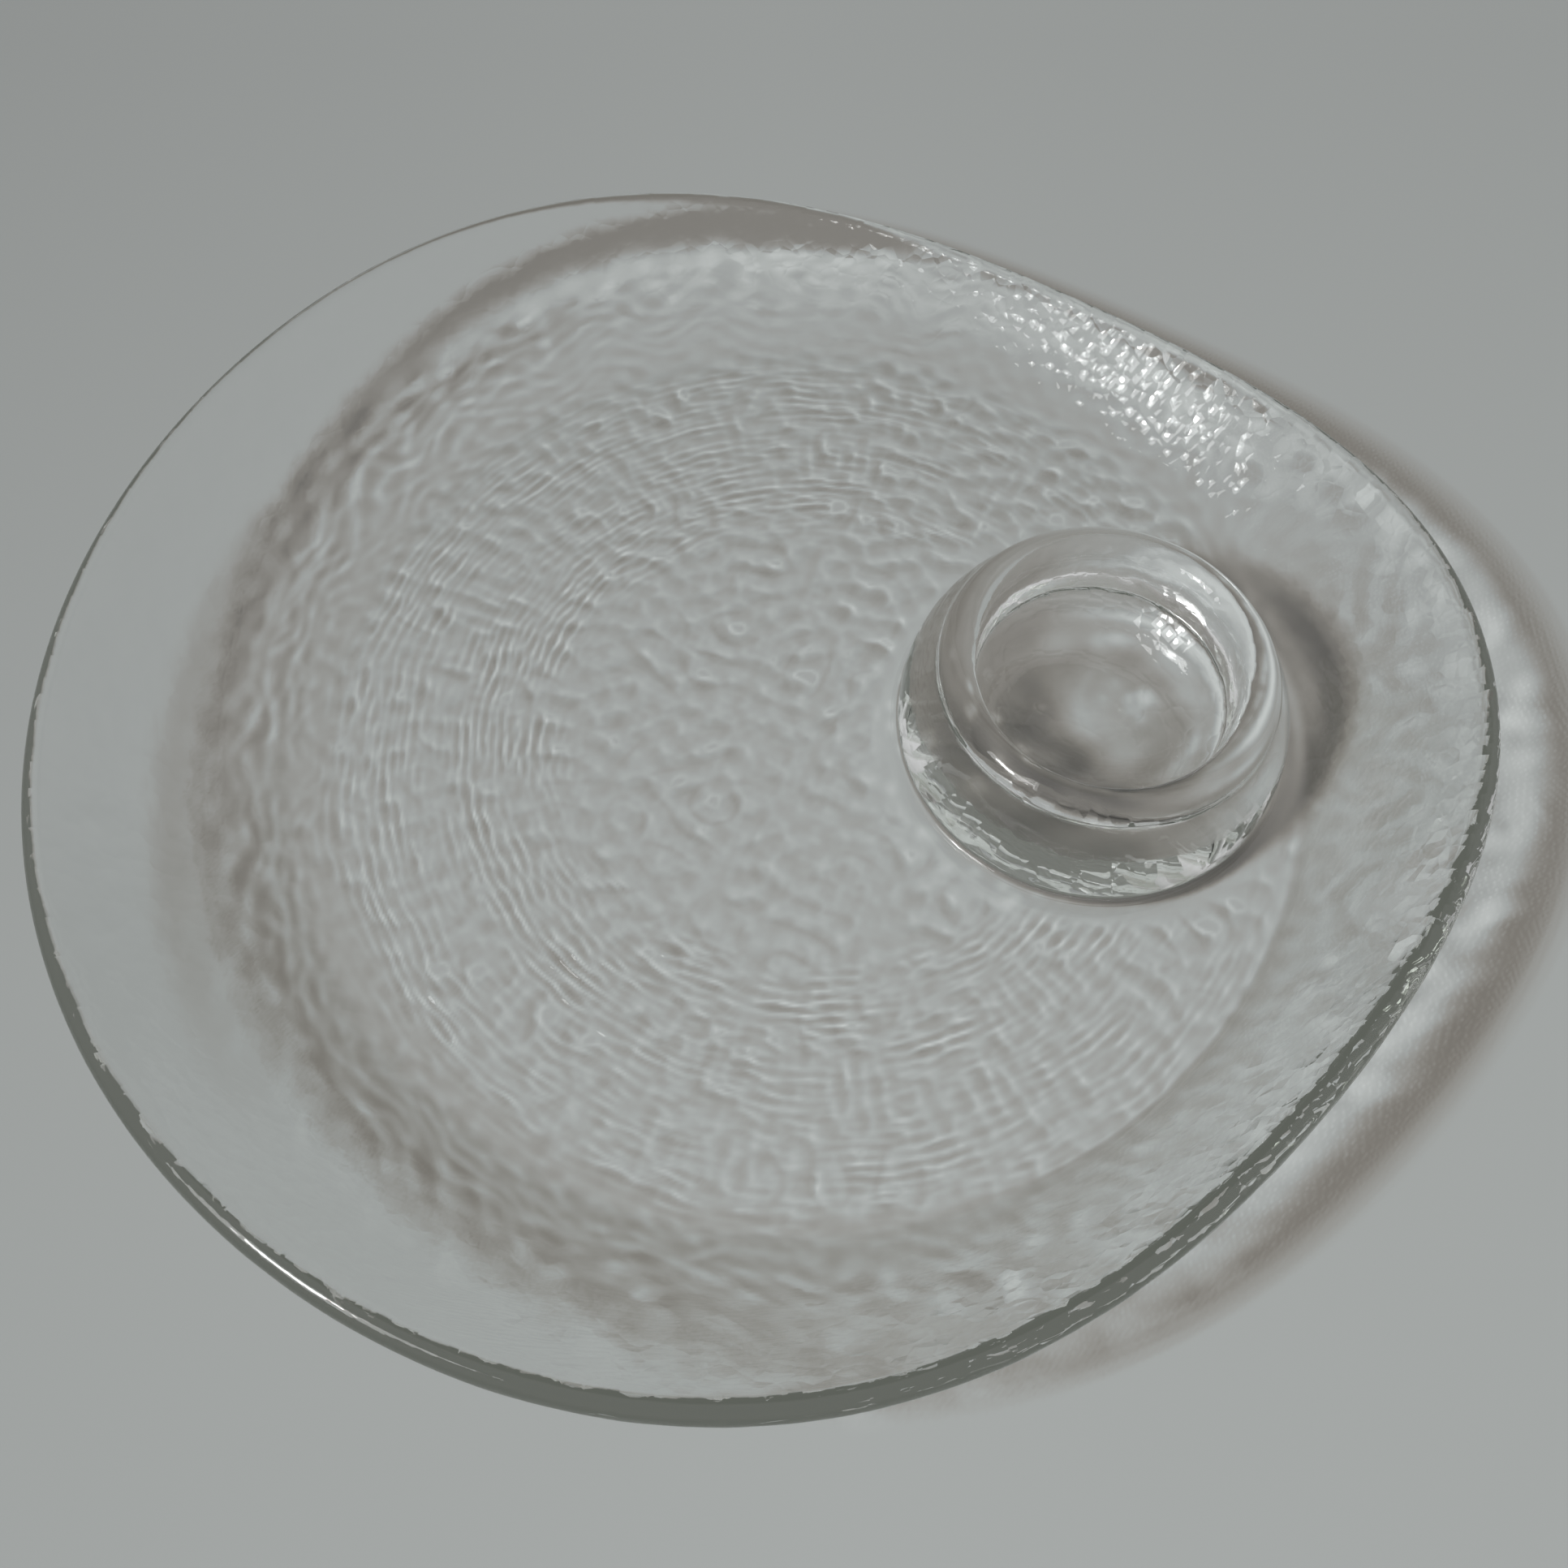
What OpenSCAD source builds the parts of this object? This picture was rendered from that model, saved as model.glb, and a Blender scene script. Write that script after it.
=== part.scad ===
// Clear glass serving plate with a dip cup fused onto its floor.
// The origin is the middle of the flat underside, +Z is up, and +X runs to the cup's axis.
// Lengths are in millimetres, and directions are degrees turned from +X towards +Y.

/* [Plate floor] */
// Radius of the flat round floor
floor_r = 111; // [100:1:120]
// Thickness of the glass in the floor
floor_t = 6; // [4:0.5:8]

/* [Plate wall] */
// Mean distance from the edge of the floor out to the rim
wall_w = 40; // [38:1:60]
// Thickness of the glass at the rim
rim_t = 5.5; // [4:0.25:8]
// Height of the rim where it stands highest
rim_high = 42; // [32:1:50]
// Height of the rim at the lowest point of its dip
rim_low = 17; // [15:0.5:28]
// Direction of the dip in the rim
dip_turn = 76; // [0:1:359]
// How closely the dip is gathered, from wide to narrow
dip_pinch = 3.4; // [1.4:0.2:5]
// How soon the wall turns up, from a late bend to an early one
wall_flare = 1.5; // [1:0.05:1.7]

/* [Rim outline] */
// How far the outline leans to one side of the floor
lean_out = 11.4; // [0:0.2:14]
// Direction of the lean, away from the cup
lean_turn = 168; // [150:1:190]
// How far the outline is drawn out to an oval
oval_out = 1.4; // [0:0.2:5]
// Direction of the oval's long axis
oval_turn = 32; // [0:1:60]
// How far the outline is drawn out to three soft corners, one of them at the cup
corner_out = 4.4; // [0:0.2:6]
// Direction of the soft corner at the cup
corner_turn = -4; // [-15:1:15]
// How far the flanks beside the cup are pinched in
flank_in = 2.6; // [0:0.2:4]
// Direction of the ridge between the pinched flanks
flank_turn = 7; // [-15:1:15]

/* [Dip cup] */
// Height of the cup over the floor of the plate
cup_h = 28; // [22:1:40]
// Radius of the cup's mouth inside its lip
mouth_r = 29; // [24:0.5:34]
// Width of the rounded lip
lip_w = 8.6; // [6:0.2:10]
// Radius of the cup's foot where it is fused to the floor
foot_r = 45.6; // [44:0.2:50]
// Gap between the foot and the edge of the flat floor
seat_margin = 0.5; // [0.5:0.5:10]
// Radius of the hollow where the foot runs out on the floor
toe_r = 1.6; // [0.8:0.2:3]
// Thickness of the foot's outermost edge
toe_t = 0.4; // [0.2:0.1:1]
// How far the cup's side swells out between lip and foot
side_swell = 2.2; // [0:0.2:4]

/* [Cup basin] */
// Radius of the basin where it meets the cup's inner wall
basin_r = 28.2; // [22:0.2:29]
// Height of the basin's edge over the floor of the plate
basin_edge_h = 14; // [10:0.5:18]
// Thickness of the cup's glass under the middle of the basin
basin_t = 3.5; // [2:0.5:8]

/* [Hidden] */

// Sections round the plate, and points along its wall and round its rim
sections = 96;
wall_steps = 9;
rim_steps = 6;
// Points along each curve of the cup's outline, and sections round the cup
curve_steps = 12;
cup_sections = 96;
clear_glass = [0.80, 0.86, 0.84, 0.55];

cup_x = floor_r - seat_margin - foot_r;
rim_r = rim_t / 2;
lip_r = lip_w / 2;

// Reach of the rim from the middle of the floor, in direction a
function reach(a) =
    floor_r + wall_w
    + lean_out * cos(a - lean_turn)
    + oval_out * cos(2 * (a - oval_turn))
    + corner_out * cos(3 * (a - corner_turn))
    + flank_in * cos(4 * (a - flank_turn));

// Height of the rim's top, in direction a: a level rim with one smooth dip
function rim_height(a) =
    rim_high - (rim_high - rim_low) * pow((1 + cos(a - dip_turn)) / 2, dip_pinch);

// Rise and run of the wall's middle surface, at the share s of its way out
function rise_share(s) = wall_flare * pow(s, 2) - (wall_flare - 1) * pow(s, 3);
function slope_share(s) = 2 * wall_flare * s - 3 * (wall_flare - 1) * pow(s, 2);
function run(a) = reach(a) - rim_r - floor_r;
function rise(a) = rim_height(a) - rim_r - floor_t / 2;
function middle(a, s) = [floor_r + run(a) * s, floor_t / 2 + rise(a) * rise_share(s)];
function tilt(a, s) = atan2(rise(a) * slope_share(s), run(a));
function half_t(s) = (floor_t + (rim_t - floor_t) * s) / 2;

// Point of the section beside the middle surface, turned by t from the wall's own slope
function beside(a, s, t) =
    middle(a, s) + half_t(s) * [cos(tilt(a, s) + t), sin(tilt(a, s) + t)];

// One section of the plate: out along the upper face, round the rim, back along the underside
function section(a) = concat(
    [for (i = [0:wall_steps - 1]) beside(a, i / wall_steps, 90)],
    [for (i = [0:rim_steps]) beside(a, 1, 90 - 180 * i / rim_steps)],
    [for (i = [wall_steps - 1:-1:0]) beside(a, i / wall_steps, -90)]
);

section_points = 2 * wall_steps + rim_steps + 1;

function at(n, i) = (n % sections) * section_points + i;

// Floor and wall of the plate, drawn out to a free outline with a rising and falling rim
module plate() {
    spots = [
        for (n = [0:sections - 1])
            let (a = 360 * n / sections)
                for (p = section(a)) [p[0] * cos(a), p[0] * sin(a), p[1]]
    ];
    skin = [
        for (n = [0:sections - 1])
            for (i = [0:section_points - 2])
                for (corner = [[at(n, i), at(n + 1, i + 1), at(n, i + 1)],
                               [at(n, i), at(n + 1, i), at(n + 1, i + 1)]])
                    corner
    ];
    upper_floor = [for (n = [sections - 1:-1:0]) at(n, 0)];
    underside = [for (n = [0:sections - 1]) at(n, section_points - 1)];
    color(clear_glass)
        polyhedron(points = spots, faces = concat(skin, [upper_floor, underside]));
}

// Points of a circle's arc, from angle a0 to angle a1
function arc(centre, r, a0, a1) = [
    for (i = [0:curve_steps])
        let (a = a0 + (a1 - a0) * i / curve_steps)
            centre + r * [cos(a), sin(a)]
];

// Outside of the cup's wall, from the toe of the foot up to the lip
wall_foot = [foot_r - toe_r, toe_t + toe_r];
wall_top = [mouth_r + lip_w, cup_h - lip_r];
wall_length = norm(wall_top - wall_foot);
wall_out = [wall_top[1] - wall_foot[1], wall_foot[0] - wall_top[0]] / wall_length;
function cup_side(s) =
    wall_foot + (wall_top - wall_foot) * s + wall_out * side_swell * sin(180 * s);

// The basin is part of a ball, so its radius follows from its edge and its depth
basin_depth = basin_edge_h - basin_t;
basin_ball_r = (pow(basin_r, 2) + pow(basin_depth, 2)) / (2 * basin_depth);
basin_edge_angle = asin(basin_r / basin_ball_r);

cup_outline = concat(
    [[0, 0], [foot_r, 0]],
    arc([foot_r, toe_t + toe_r], toe_r, 270, 180),
    [for (i = [1:curve_steps - 1]) cup_side(i / curve_steps)],
    arc([mouth_r + lip_r, cup_h - lip_r], lip_r, 0, 180),
    arc([0, basin_t + basin_ball_r], basin_ball_r, basin_edge_angle - 90, -90)
);

// Thick cup with a rounded lip, a swelling side and a hollow basin, fused to the floor
module dip_cup() {
    color(clear_glass)
        translate([cup_x, 0, floor_t])
            rotate_extrude($fn = cup_sections)
                polygon(cup_outline);
}

plate();
dip_cup();
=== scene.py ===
"""Clear glass serving plate with a fused dip cup, on a plain pale table under one large window.

Every length is in metres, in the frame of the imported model: the origin is the middle of the flat
underside, +Z is up and +X runs to the cup's axis.
"""
import logging
import math
from collections.abc import Iterator
from dataclasses import dataclass, field
from enum import Enum

import bmesh
import bpy
import numpy as np
from mathutils import Euler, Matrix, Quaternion, Vector


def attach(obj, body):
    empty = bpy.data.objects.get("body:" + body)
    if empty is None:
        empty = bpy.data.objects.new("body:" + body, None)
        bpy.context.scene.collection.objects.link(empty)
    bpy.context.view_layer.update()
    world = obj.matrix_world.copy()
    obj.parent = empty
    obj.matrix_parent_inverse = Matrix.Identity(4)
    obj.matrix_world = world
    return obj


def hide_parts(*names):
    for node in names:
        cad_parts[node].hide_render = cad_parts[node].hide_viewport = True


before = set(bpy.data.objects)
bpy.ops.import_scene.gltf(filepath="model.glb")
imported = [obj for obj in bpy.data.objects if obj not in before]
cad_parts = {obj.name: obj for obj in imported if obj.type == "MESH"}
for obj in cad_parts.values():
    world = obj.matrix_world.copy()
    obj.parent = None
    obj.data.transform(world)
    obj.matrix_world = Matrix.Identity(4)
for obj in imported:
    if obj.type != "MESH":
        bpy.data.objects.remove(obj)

LOG = logging.getLogger("glass_plate")
MM = 0.001
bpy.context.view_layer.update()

# Strides that spread a run of points evenly over a square
EVEN_STRIDES = (0.7548776662, 0.5698402910)
# Mean height of a creased wave, and what brings its spread back to 1
CREASE_MEAN = 0.85
CREASE_GAIN = 1.5
# Keeps a division by zero away
TINY = 1e-9
# How far the seam's mask reaches past the cup's foot
SEAT_MARGIN = 0.05 * MM
# Points closer together than this are one
MERGED = 0.001 * MM


def on_circle(degrees: float) -> tuple[float, float]:
    """Gives the cosine and the sine of an angle in degrees."""
    angle = math.radians(degrees)
    return math.cos(angle), math.sin(angle)


def arc(centre: tuple[float, float], r: float, start: float, end: float,
        steps: int) -> list[tuple[float, float]]:
    """Lists points of a circle's arc.

    Args:
        centre: The circle's middle.
        r: Its radius.
        start: Angle of the first point, in degrees.
        end: Angle of the last point.
        steps: How many steps lead from one to the other.

    Returns:
        The points, one more than the steps.
    """
    turns = [on_circle(start + (end - start) * i / steps) for i in range(steps + 1)]
    return [(centre[0] + r * c, centre[1] + r * s) for c, s in turns]


def ease(value: np.ndarray) -> np.ndarray:
    """Gives a smooth step from 0 to 1 as the value goes from 0 to 1."""
    share = np.clip(value, 0.0, 1.0)
    return share * share * (3 - 2 * share)


def creased(wave: np.ndarray, softness: float) -> np.ndarray:
    """Turns a random wave into shallow dimples that meet in sharper grooves.

    Args:
        wave: Heights about 0, with a spread of 1.
        softness: How rounded the grooves are, from 0 for a sharp crease.

    Returns:
        Heights about 0, with a spread of 1, greatest along the grooves.
    """
    return CREASE_GAIN * (CREASE_MEAN - np.sqrt(wave * wave + softness * softness))


@dataclass(frozen=True)
class Band:
    """A band of values with soft edges."""

    middle: float
    half: float

    def at(self, value: np.ndarray) -> np.ndarray:
        """Gives 1 for values in the band and 0 for values well away from it."""
        return np.exp(-((value - self.middle) / self.half) ** 4)


@dataclass(frozen=True)
class Sector:
    """A direction from the plate's middle, in radians, that fades to both sides."""

    middle: float
    width: float

    def at(self, a: np.ndarray) -> np.ndarray:
        """Gives 1 in the sector's own direction and 0 for those well away from it."""
        return np.exp(-((a - self.middle) / self.width) ** 2)


@dataclass(frozen=True)
class Onset:
    """A smooth step from 0 at its start to 1 a length beyond it."""

    start: float
    length: float

    def at(self, value: np.ndarray) -> np.ndarray:
        """Gives how far values have come along the step."""
        return ease((value - self.start) / self.length)


@dataclass(frozen=True)
class Lobe:
    """A share that is 1 in one direction, in degrees, and 0 from a quarter turn away on."""

    side: float
    power: int

    def at(self, a: np.ndarray) -> np.ndarray:
        """Gives the share in the directions a, in radians."""
        return np.maximum(np.cos(a - math.radians(self.side)), 0) ** self.power


@dataclass(frozen=True)
class Facing:
    """The directions on one side, in degrees, with a step set on the cosine of the angle to it."""

    side: float
    step: Onset

    def at(self, a: np.ndarray) -> np.ndarray:
        """Gives 1 for the directions a, in radians, that face the side and 0 for the others."""
        return self.step.at(np.cos(a - math.radians(self.side)))


@dataclass(frozen=True)
class Spots:
    """Places in plan, in metres from the plate's middle."""

    x: np.ndarray
    y: np.ndarray

    @property
    def r(self) -> np.ndarray:
        """Distance of the places from the middle."""
        return np.hypot(self.x, self.y)

    @property
    def a(self) -> np.ndarray:
        """Direction of the places from the middle, in radians."""
        return np.arctan2(self.y, self.x)

    @property
    def degrees(self) -> np.ndarray:
        """Direction of the places from the middle, in degrees."""
        return np.degrees(self.a)


@dataclass(frozen=True)
class SoftPatch:
    """A soft patch of the table, at a direction in degrees and a distance from some middle."""

    side: Band
    out: Band
    gain: float

    def at(self, turn: np.ndarray, away: np.ndarray) -> np.ndarray:
        """Gives the patch's strength at places of the table.

        Args:
            turn: Direction of the places, in degrees.
            away: Their distance.

        Returns:
            The patch's gain in its middle, and 0 well outside it.
        """
        return self.gain * self.side.at(turn) * self.out.at(away)


class Mark(Enum):
    """A value that a mesh keeps at each point for its material."""

    KNOCKED = "knocked"
    THROWN_LIGHT = "thrown_light"


def link(piece: bpy.types.Object) -> None:
    """Puts an object into the scene's collection."""
    bpy.context.scene.collection.objects.link(piece)


def finished_object(name: str, bm: bmesh.types.BMesh) -> bpy.types.Object:
    """Turns a bmesh into a smooth-shaded object of the scene and frees the bmesh.

    Args:
        name: Name of the object and its mesh.
        bm: The closed form.

    Returns:
        The object, at the origin.
    """
    bmesh.ops.recalc_face_normals(bm, faces=bm.faces)
    mesh = bpy.data.meshes.new(name)
    bm.to_mesh(mesh)
    bm.free()
    mesh.shade_smooth()
    piece = bpy.data.objects.new(name, mesh)
    link(piece)
    return piece


def places(mesh: bpy.types.Mesh) -> np.ndarray:
    """Reads where a mesh's points lie.

    Args:
        mesh: The mesh.

    Returns:
        The places, one row for each point.
    """
    co = np.zeros(len(mesh.vertices) * 3)
    mesh.vertices.foreach_get("co", co)
    return co.reshape(-1, 3)


def mark_points(mesh: bpy.types.Mesh, mark: Mark, values: np.ndarray) -> None:
    """Keeps one value for each point of a mesh.

    Args:
        mesh: The mesh.
        mark: What the values say.
        values: The values.
    """
    mesh.attributes.new(mark.value, "FLOAT", "POINT").data.foreach_set("value", values)


@dataclass(frozen=True)
class Swell:
    """One wave of the plate's outline: how often it runs round, how far out, and its direction."""

    count: int
    size: float
    turn: float

    def at(self, a: np.ndarray) -> np.ndarray:
        """Gives how far the wave carries the outline out in the directions a, in radians."""
        return self.size * np.cos(self.count * (a - math.radians(self.turn)))


def chorus(waves: Iterator[np.ndarray], count: int) -> np.ndarray:
    """Adds a count of random waves up, to a spread of 1."""
    return sum(waves) * math.sqrt(2 / count)


@dataclass(frozen=True)
class Ripple:
    """A soft random pattern without a grain, as hot glass takes from a tool."""

    seed: int
    shortest: float
    longest: float
    waves: int = 30

    def at(self, spots: Spots) -> np.ndarray:
        """Gives the pattern's height at places.

        Args:
            spots: The places.

        Returns:
            Heights about 0, with a spread of 1.
        """
        dice = np.random.default_rng(self.seed)
        pace = 2 * math.pi / dice.uniform(self.shortest, self.longest, self.waves)
        turn = dice.uniform(0, 2 * math.pi, self.waves)
        start = dice.uniform(0, 2 * math.pi, self.waves)
        return chorus((np.cos(k * (math.cos(way) * spots.x + math.sin(way) * spots.y) + phase)
                       for k, way, phase in zip(pace, turn, start)), self.waves)


@dataclass(frozen=True)
class Patches:
    """A soft random pattern kept between a least and a most, with patches of either."""

    ripple: Ripple
    mean: float
    spread: float
    least: float
    most: float

    def at(self, spots: Spots) -> np.ndarray:
        """Gives the pattern's value at places."""
        return np.clip(self.mean + self.spread * self.ripple.at(spots), self.least, self.most)


@dataclass(frozen=True)
class RingMarks:
    """Fine rings round the plate's middle, broken into short streaks."""

    seed: int
    shortest: float
    longest: float
    spokes: int
    waves: int
    gather: int = 3
    coarse_gain: float = 1.5

    def at(self, spots: Spots, sway: np.ndarray) -> np.ndarray:
        """Gives the rings' height at places.

        Args:
            spots: The places.
            sway: How far the rings wander in and out there, in metres.

        Returns:
            Heights about 0, with a spread of about 1.
        """
        dice = np.random.default_rng(self.seed)
        pitch = dice.uniform(self.shortest, self.longest, self.waves)
        turns = np.rint(self.spokes * dice.uniform(-1, 1, self.waves) ** self.gather)
        start = dice.uniform(0, 2 * math.pi, self.waves)
        middle = (self.shortest + self.longest) / 2
        strengths = (pitch / middle) ** self.coarse_gain
        r = spots.r + sway
        a = spots.a
        return chorus((strength * np.cos(2 * math.pi * r / length + count * a + phase)
                       for strength, length, count, phase in zip(strengths, pitch, turns, start)),
                      self.waves)


@dataclass(frozen=True)
class SpokeMarks:
    """Soft ridges that run out from the middle, and cross the rings."""

    seed: int
    fewest: int
    most: int
    slant: float
    waves: int = 12

    def at(self, spots: Spots) -> np.ndarray:
        """Gives the ridges' height at places.

        Args:
            spots: The places.

        Returns:
            Heights about 0, with a spread of 1.
        """
        dice = np.random.default_rng(self.seed)
        turns = dice.integers(self.fewest, self.most, self.waves)
        pace = dice.uniform(-1, 1, self.waves) * 2 * math.pi / self.slant
        start = dice.uniform(0, 2 * math.pi, self.waves)
        r = spots.r
        a = spots.a
        return chorus((np.cos(count * a + k * r + phase)
                       for count, k, phase in zip(turns, pace, start)), self.waves)


@dataclass(frozen=True)
class RimRipple:
    """Small uneven swells that run round the rim."""

    seed: int
    fewest: int
    most: int
    size: float
    waves: int = 12

    def at(self, a: np.ndarray) -> np.ndarray:
        """Gives the swells' height round the rim.

        Args:
            a: Directions from the middle, in radians.

        Returns:
            Heights about 0.
        """
        dice = np.random.default_rng(self.seed)
        turns = dice.integers(self.fewest, self.most, self.waves)
        start = dice.uniform(0, 2 * math.pi, self.waves)
        swells = (np.cos(count * a + phase) for count, phase in zip(turns, start))
        return self.size * chorus(swells, self.waves)


@dataclass(frozen=True)
class HammeredFace:
    """The relief of the plate's underside.

    The floor has creased dimples, bands of fine rings and spokes that cross them. On the wall they
    give way to softer dimples and knocks, and to streaks that were drawn out with the glass.
    """

    dimples: Ripple = Ripple(3, 5.5 * MM, 11 * MM, 36)
    grooves: Ripple = Ripple(31, 10 * MM, 19 * MM, 30)
    grit: Ripple = Ripple(5, 2.6 * MM, 4.2 * MM, 30)
    patches: Patches = Patches(Ripple(9, 14 * MM, 30 * MM, 24), 0.9, 0.4, 0.3, 1.5)
    wander: Ripple = Ripple(11, 20 * MM, 50 * MM, 10)
    knocks: Ripple = Ripple(13, 8.5 * MM, 20 * MM, 34)
    streaks: RingMarks = RingMarks(17, 3.4 * MM, 7.5 * MM, spokes=100, waves=40, gather=1)
    rings: RingMarks = RingMarks(21, 1.7 * MM, 3.2 * MM, spokes=64, waves=28)
    spokes: SpokeMarks = SpokeMarks(27, 95, 150, 34 * MM)
    least: float = 0.26 * MM
    dimple_h: float = 0.085 * MM
    wall_dimple_h: float = 0.018 * MM
    groove_h: float = 0.070 * MM
    groove_softness: float = 0.3
    grit_h: float = 0.008 * MM
    knock_h: float = 0.062 * MM
    streak_h: float = 0.034 * MM
    streak_sway: float = 1.5 * MM
    streaks_from: Onset = Onset(104 * MM, 10 * MM)
    wall_foot: Onset = Onset(110 * MM, 14 * MM)
    wall_face: Onset = Onset(118 * MM, 14 * MM)
    wall_sway: float = 2.5 * MM
    ring_h: float = 0.024 * MM
    ring_sway: float = 0.3 * MM
    inner_band: Band = Band(71 * MM, 13 * MM)
    inner_gain: float = 1.3
    outer_band: Band = Band(104 * MM, 12 * MM)
    between: Band = Band(87 * MM, 9 * MM)
    between_gain: float = 0.4
    spoke_h: float = 0.023 * MM
    spoke_band: Band = Band(94 * MM, 22 * MM)
    spoke_balance: float = 1.6
    far_side: Sector = Sector(0.6, 0.8)
    far_dimples: float = 0.5
    far_rings: float = 0.7
    front_wall: Sector = Sector(-0.65, 0.5)
    front_dimples: float = 1.6
    cup_side: Sector = Sector(-0.38, 0.36)
    cup_side_from: Onset = Onset(80 * MM, 15 * MM)
    cup_side_rings: float = 0.85
    tip: Sector = Sector(-0.05, 0.9)
    tip_from: Onset = Onset(108 * MM, 8 * MM)
    tip_calm: float = 0.25
    cup_x: float = 64.9 * MM
    past_cup: Onset = Onset(47 * MM, 6 * MM)
    under_cup: float = 0.05

    def depth(self, spots: Spots) -> np.ndarray:
        """Gives how deep the relief cuts into the glass at places.

        Args:
            spots: The places.

        Returns:
            Depths of zero or more, in metres.
        """
        drift = self.wander.at(spots)
        calm = 1 - self.tip_calm * self.tip.at(spots.a) * self.tip_from.at(spots.r)
        relief = calm * self.dents(spots, drift) + self.lines(spots, drift)
        beside_cup = self.past_cup.at(np.hypot(spots.x - self.cup_x, spots.y))
        kept = self.under_cup + (1 - self.under_cup) * beside_cup
        return np.maximum(self.least + kept * relief, 0.0)

    def dents(self, spots: Spots, drift: np.ndarray) -> np.ndarray:
        """Gives the height of dimples, grooves, knocks and streaks at places.

        Args:
            spots: The places.
            drift: How far the pattern wanders there, as a share of its sways.

        Returns:
            Heights about 0, in metres.
        """
        ragged_r = spots.r + self.wall_sway * drift
        near_wall = self.wall_foot.at(ragged_r)
        on_wall = self.wall_face.at(ragged_r)
        floor_h = self.dimple_h * (1 + self.far_dimples * self.far_side.at(spots.a))
        wall_h = self.wall_dimple_h * (1 + self.front_dimples * self.front_wall.at(spots.a))
        soft = (floor_h + (wall_h - floor_h) * near_wall) * self.dimples.at(spots)
        soft += (1 - on_wall) * self.grit_h * self.grit.at(spots)
        grooves = creased(self.grooves.at(spots), self.groove_softness)
        soft += (1 - near_wall) * self.groove_h * grooves
        soft += on_wall * self.knock_h * self.knocks.at(spots)
        streaks = self.streaks.at(spots, self.streak_sway * drift)
        return soft + self.streaks_from.at(spots.r) * self.streak_h * streaks

    def lines(self, spots: Spots, drift: np.ndarray) -> np.ndarray:
        """Gives the height of the rings, and of the spokes that show where the rings are faint.

        Args:
            spots: The places.
            drift: How far the pattern wanders there, as a share of its sways.

        Returns:
            Heights about 0, in metres.
        """
        r = spots.r
        a = spots.a
        band = self.inner_gain * self.inner_band.at(r) + self.outer_band.at(r)
        band += self.between_gain * self.between.at(r)
        patch = self.patches.at(spots)
        kept = 1 - self.far_rings * self.far_side.at(a)
        kept *= 1 - self.cup_side_rings * self.cup_side.at(a) * self.cup_side_from.at(r)
        rings = self.ring_h * band * patch * kept * self.rings.at(spots, self.ring_sway * drift)
        ridges = self.spoke_h * self.spoke_band.at(r) * (self.spoke_balance - patch)
        return rings + ridges * self.spokes.at(spots)


class Face(Enum):
    """Which face of the plate's glass a station of its section lies on."""

    UNDER = 1
    RIM = 2
    UPPER = 3


@dataclass(frozen=True)
class Station:
    """One point of the plate's section: on the flat floor at a radius, or out along the wall."""

    face: Face
    share: float = 0.0
    radius: float = -1.0


@dataclass(frozen=True)
class PlateForm:
    """The plate's shape: a flat round floor and a wall drawn out to a free outline."""

    floor_r: float = 111 * MM
    floor_t: float = 6 * MM
    wall_w: float = 40 * MM
    rim_t: float = 5.5 * MM
    rim_high: float = 42 * MM
    rim_low: float = 17 * MM
    dip_turn: float = 76
    dip_pinch: float = 3.4
    flare: float = 1.5
    swells: tuple[Swell, ...] = (Swell(1, 11.4 * MM, 168), Swell(2, 1.4 * MM, 32),
                                 Swell(3, 4.4 * MM, -4), Swell(4, 2.6 * MM, 7))

    def reach(self, a: np.ndarray) -> np.ndarray:
        """Gives the rim's distance from the middle in the directions a, in radians."""
        return self.floor_r + self.wall_w + sum(swell.at(a) for swell in self.swells)

    def rim_height(self, a: np.ndarray) -> np.ndarray:
        """Gives the rim's height in the directions a: level, with one smooth dip."""
        dip = ((1 + np.cos(a - math.radians(self.dip_turn))) / 2) ** self.dip_pinch
        return self.rim_high - (self.rim_high - self.rim_low) * dip

    def place(self, a: np.ndarray, face: np.ndarray, share: np.ndarray,
              cut: np.ndarray | float = 0.0) -> tuple[np.ndarray, np.ndarray]:
        """Works out where points of the wall and the rim lie.

        Args:
            a: Direction of each point, in radians.
            face: Value of the Face that it lies on.
            share: Share of the way out along the wall, or up round the rim.
            cut: How far the relief takes the point into the glass, in metres.

        Returns:
            Distance from the middle and height of each point.
        """
        run = self.reach(a) - self.rim_t / 2 - self.floor_r
        rise = self.rim_height(a) - self.rim_t / 2 - self.floor_t / 2
        s = np.where(face == Face.RIM.value, 1.0, share)
        middle_r = self.floor_r + run * s
        middle_z = self.floor_t / 2 + rise * (self.flare * s ** 2 - (self.flare - 1) * s ** 3)
        tilt = np.arctan2(rise * (2 * self.flare * s - 3 * (self.flare - 1) * s ** 2), run)
        turn = np.where(face == Face.UNDER.value, -math.pi / 2, math.pi / 2)
        turn = np.where(face == Face.RIM.value, -math.pi / 2 + math.pi * share, turn) + tilt
        half = (self.floor_t + (self.rim_t - self.floor_t) * s) / 2 - cut
        return middle_r + half * np.cos(turn), middle_z + half * np.sin(turn)


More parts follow.
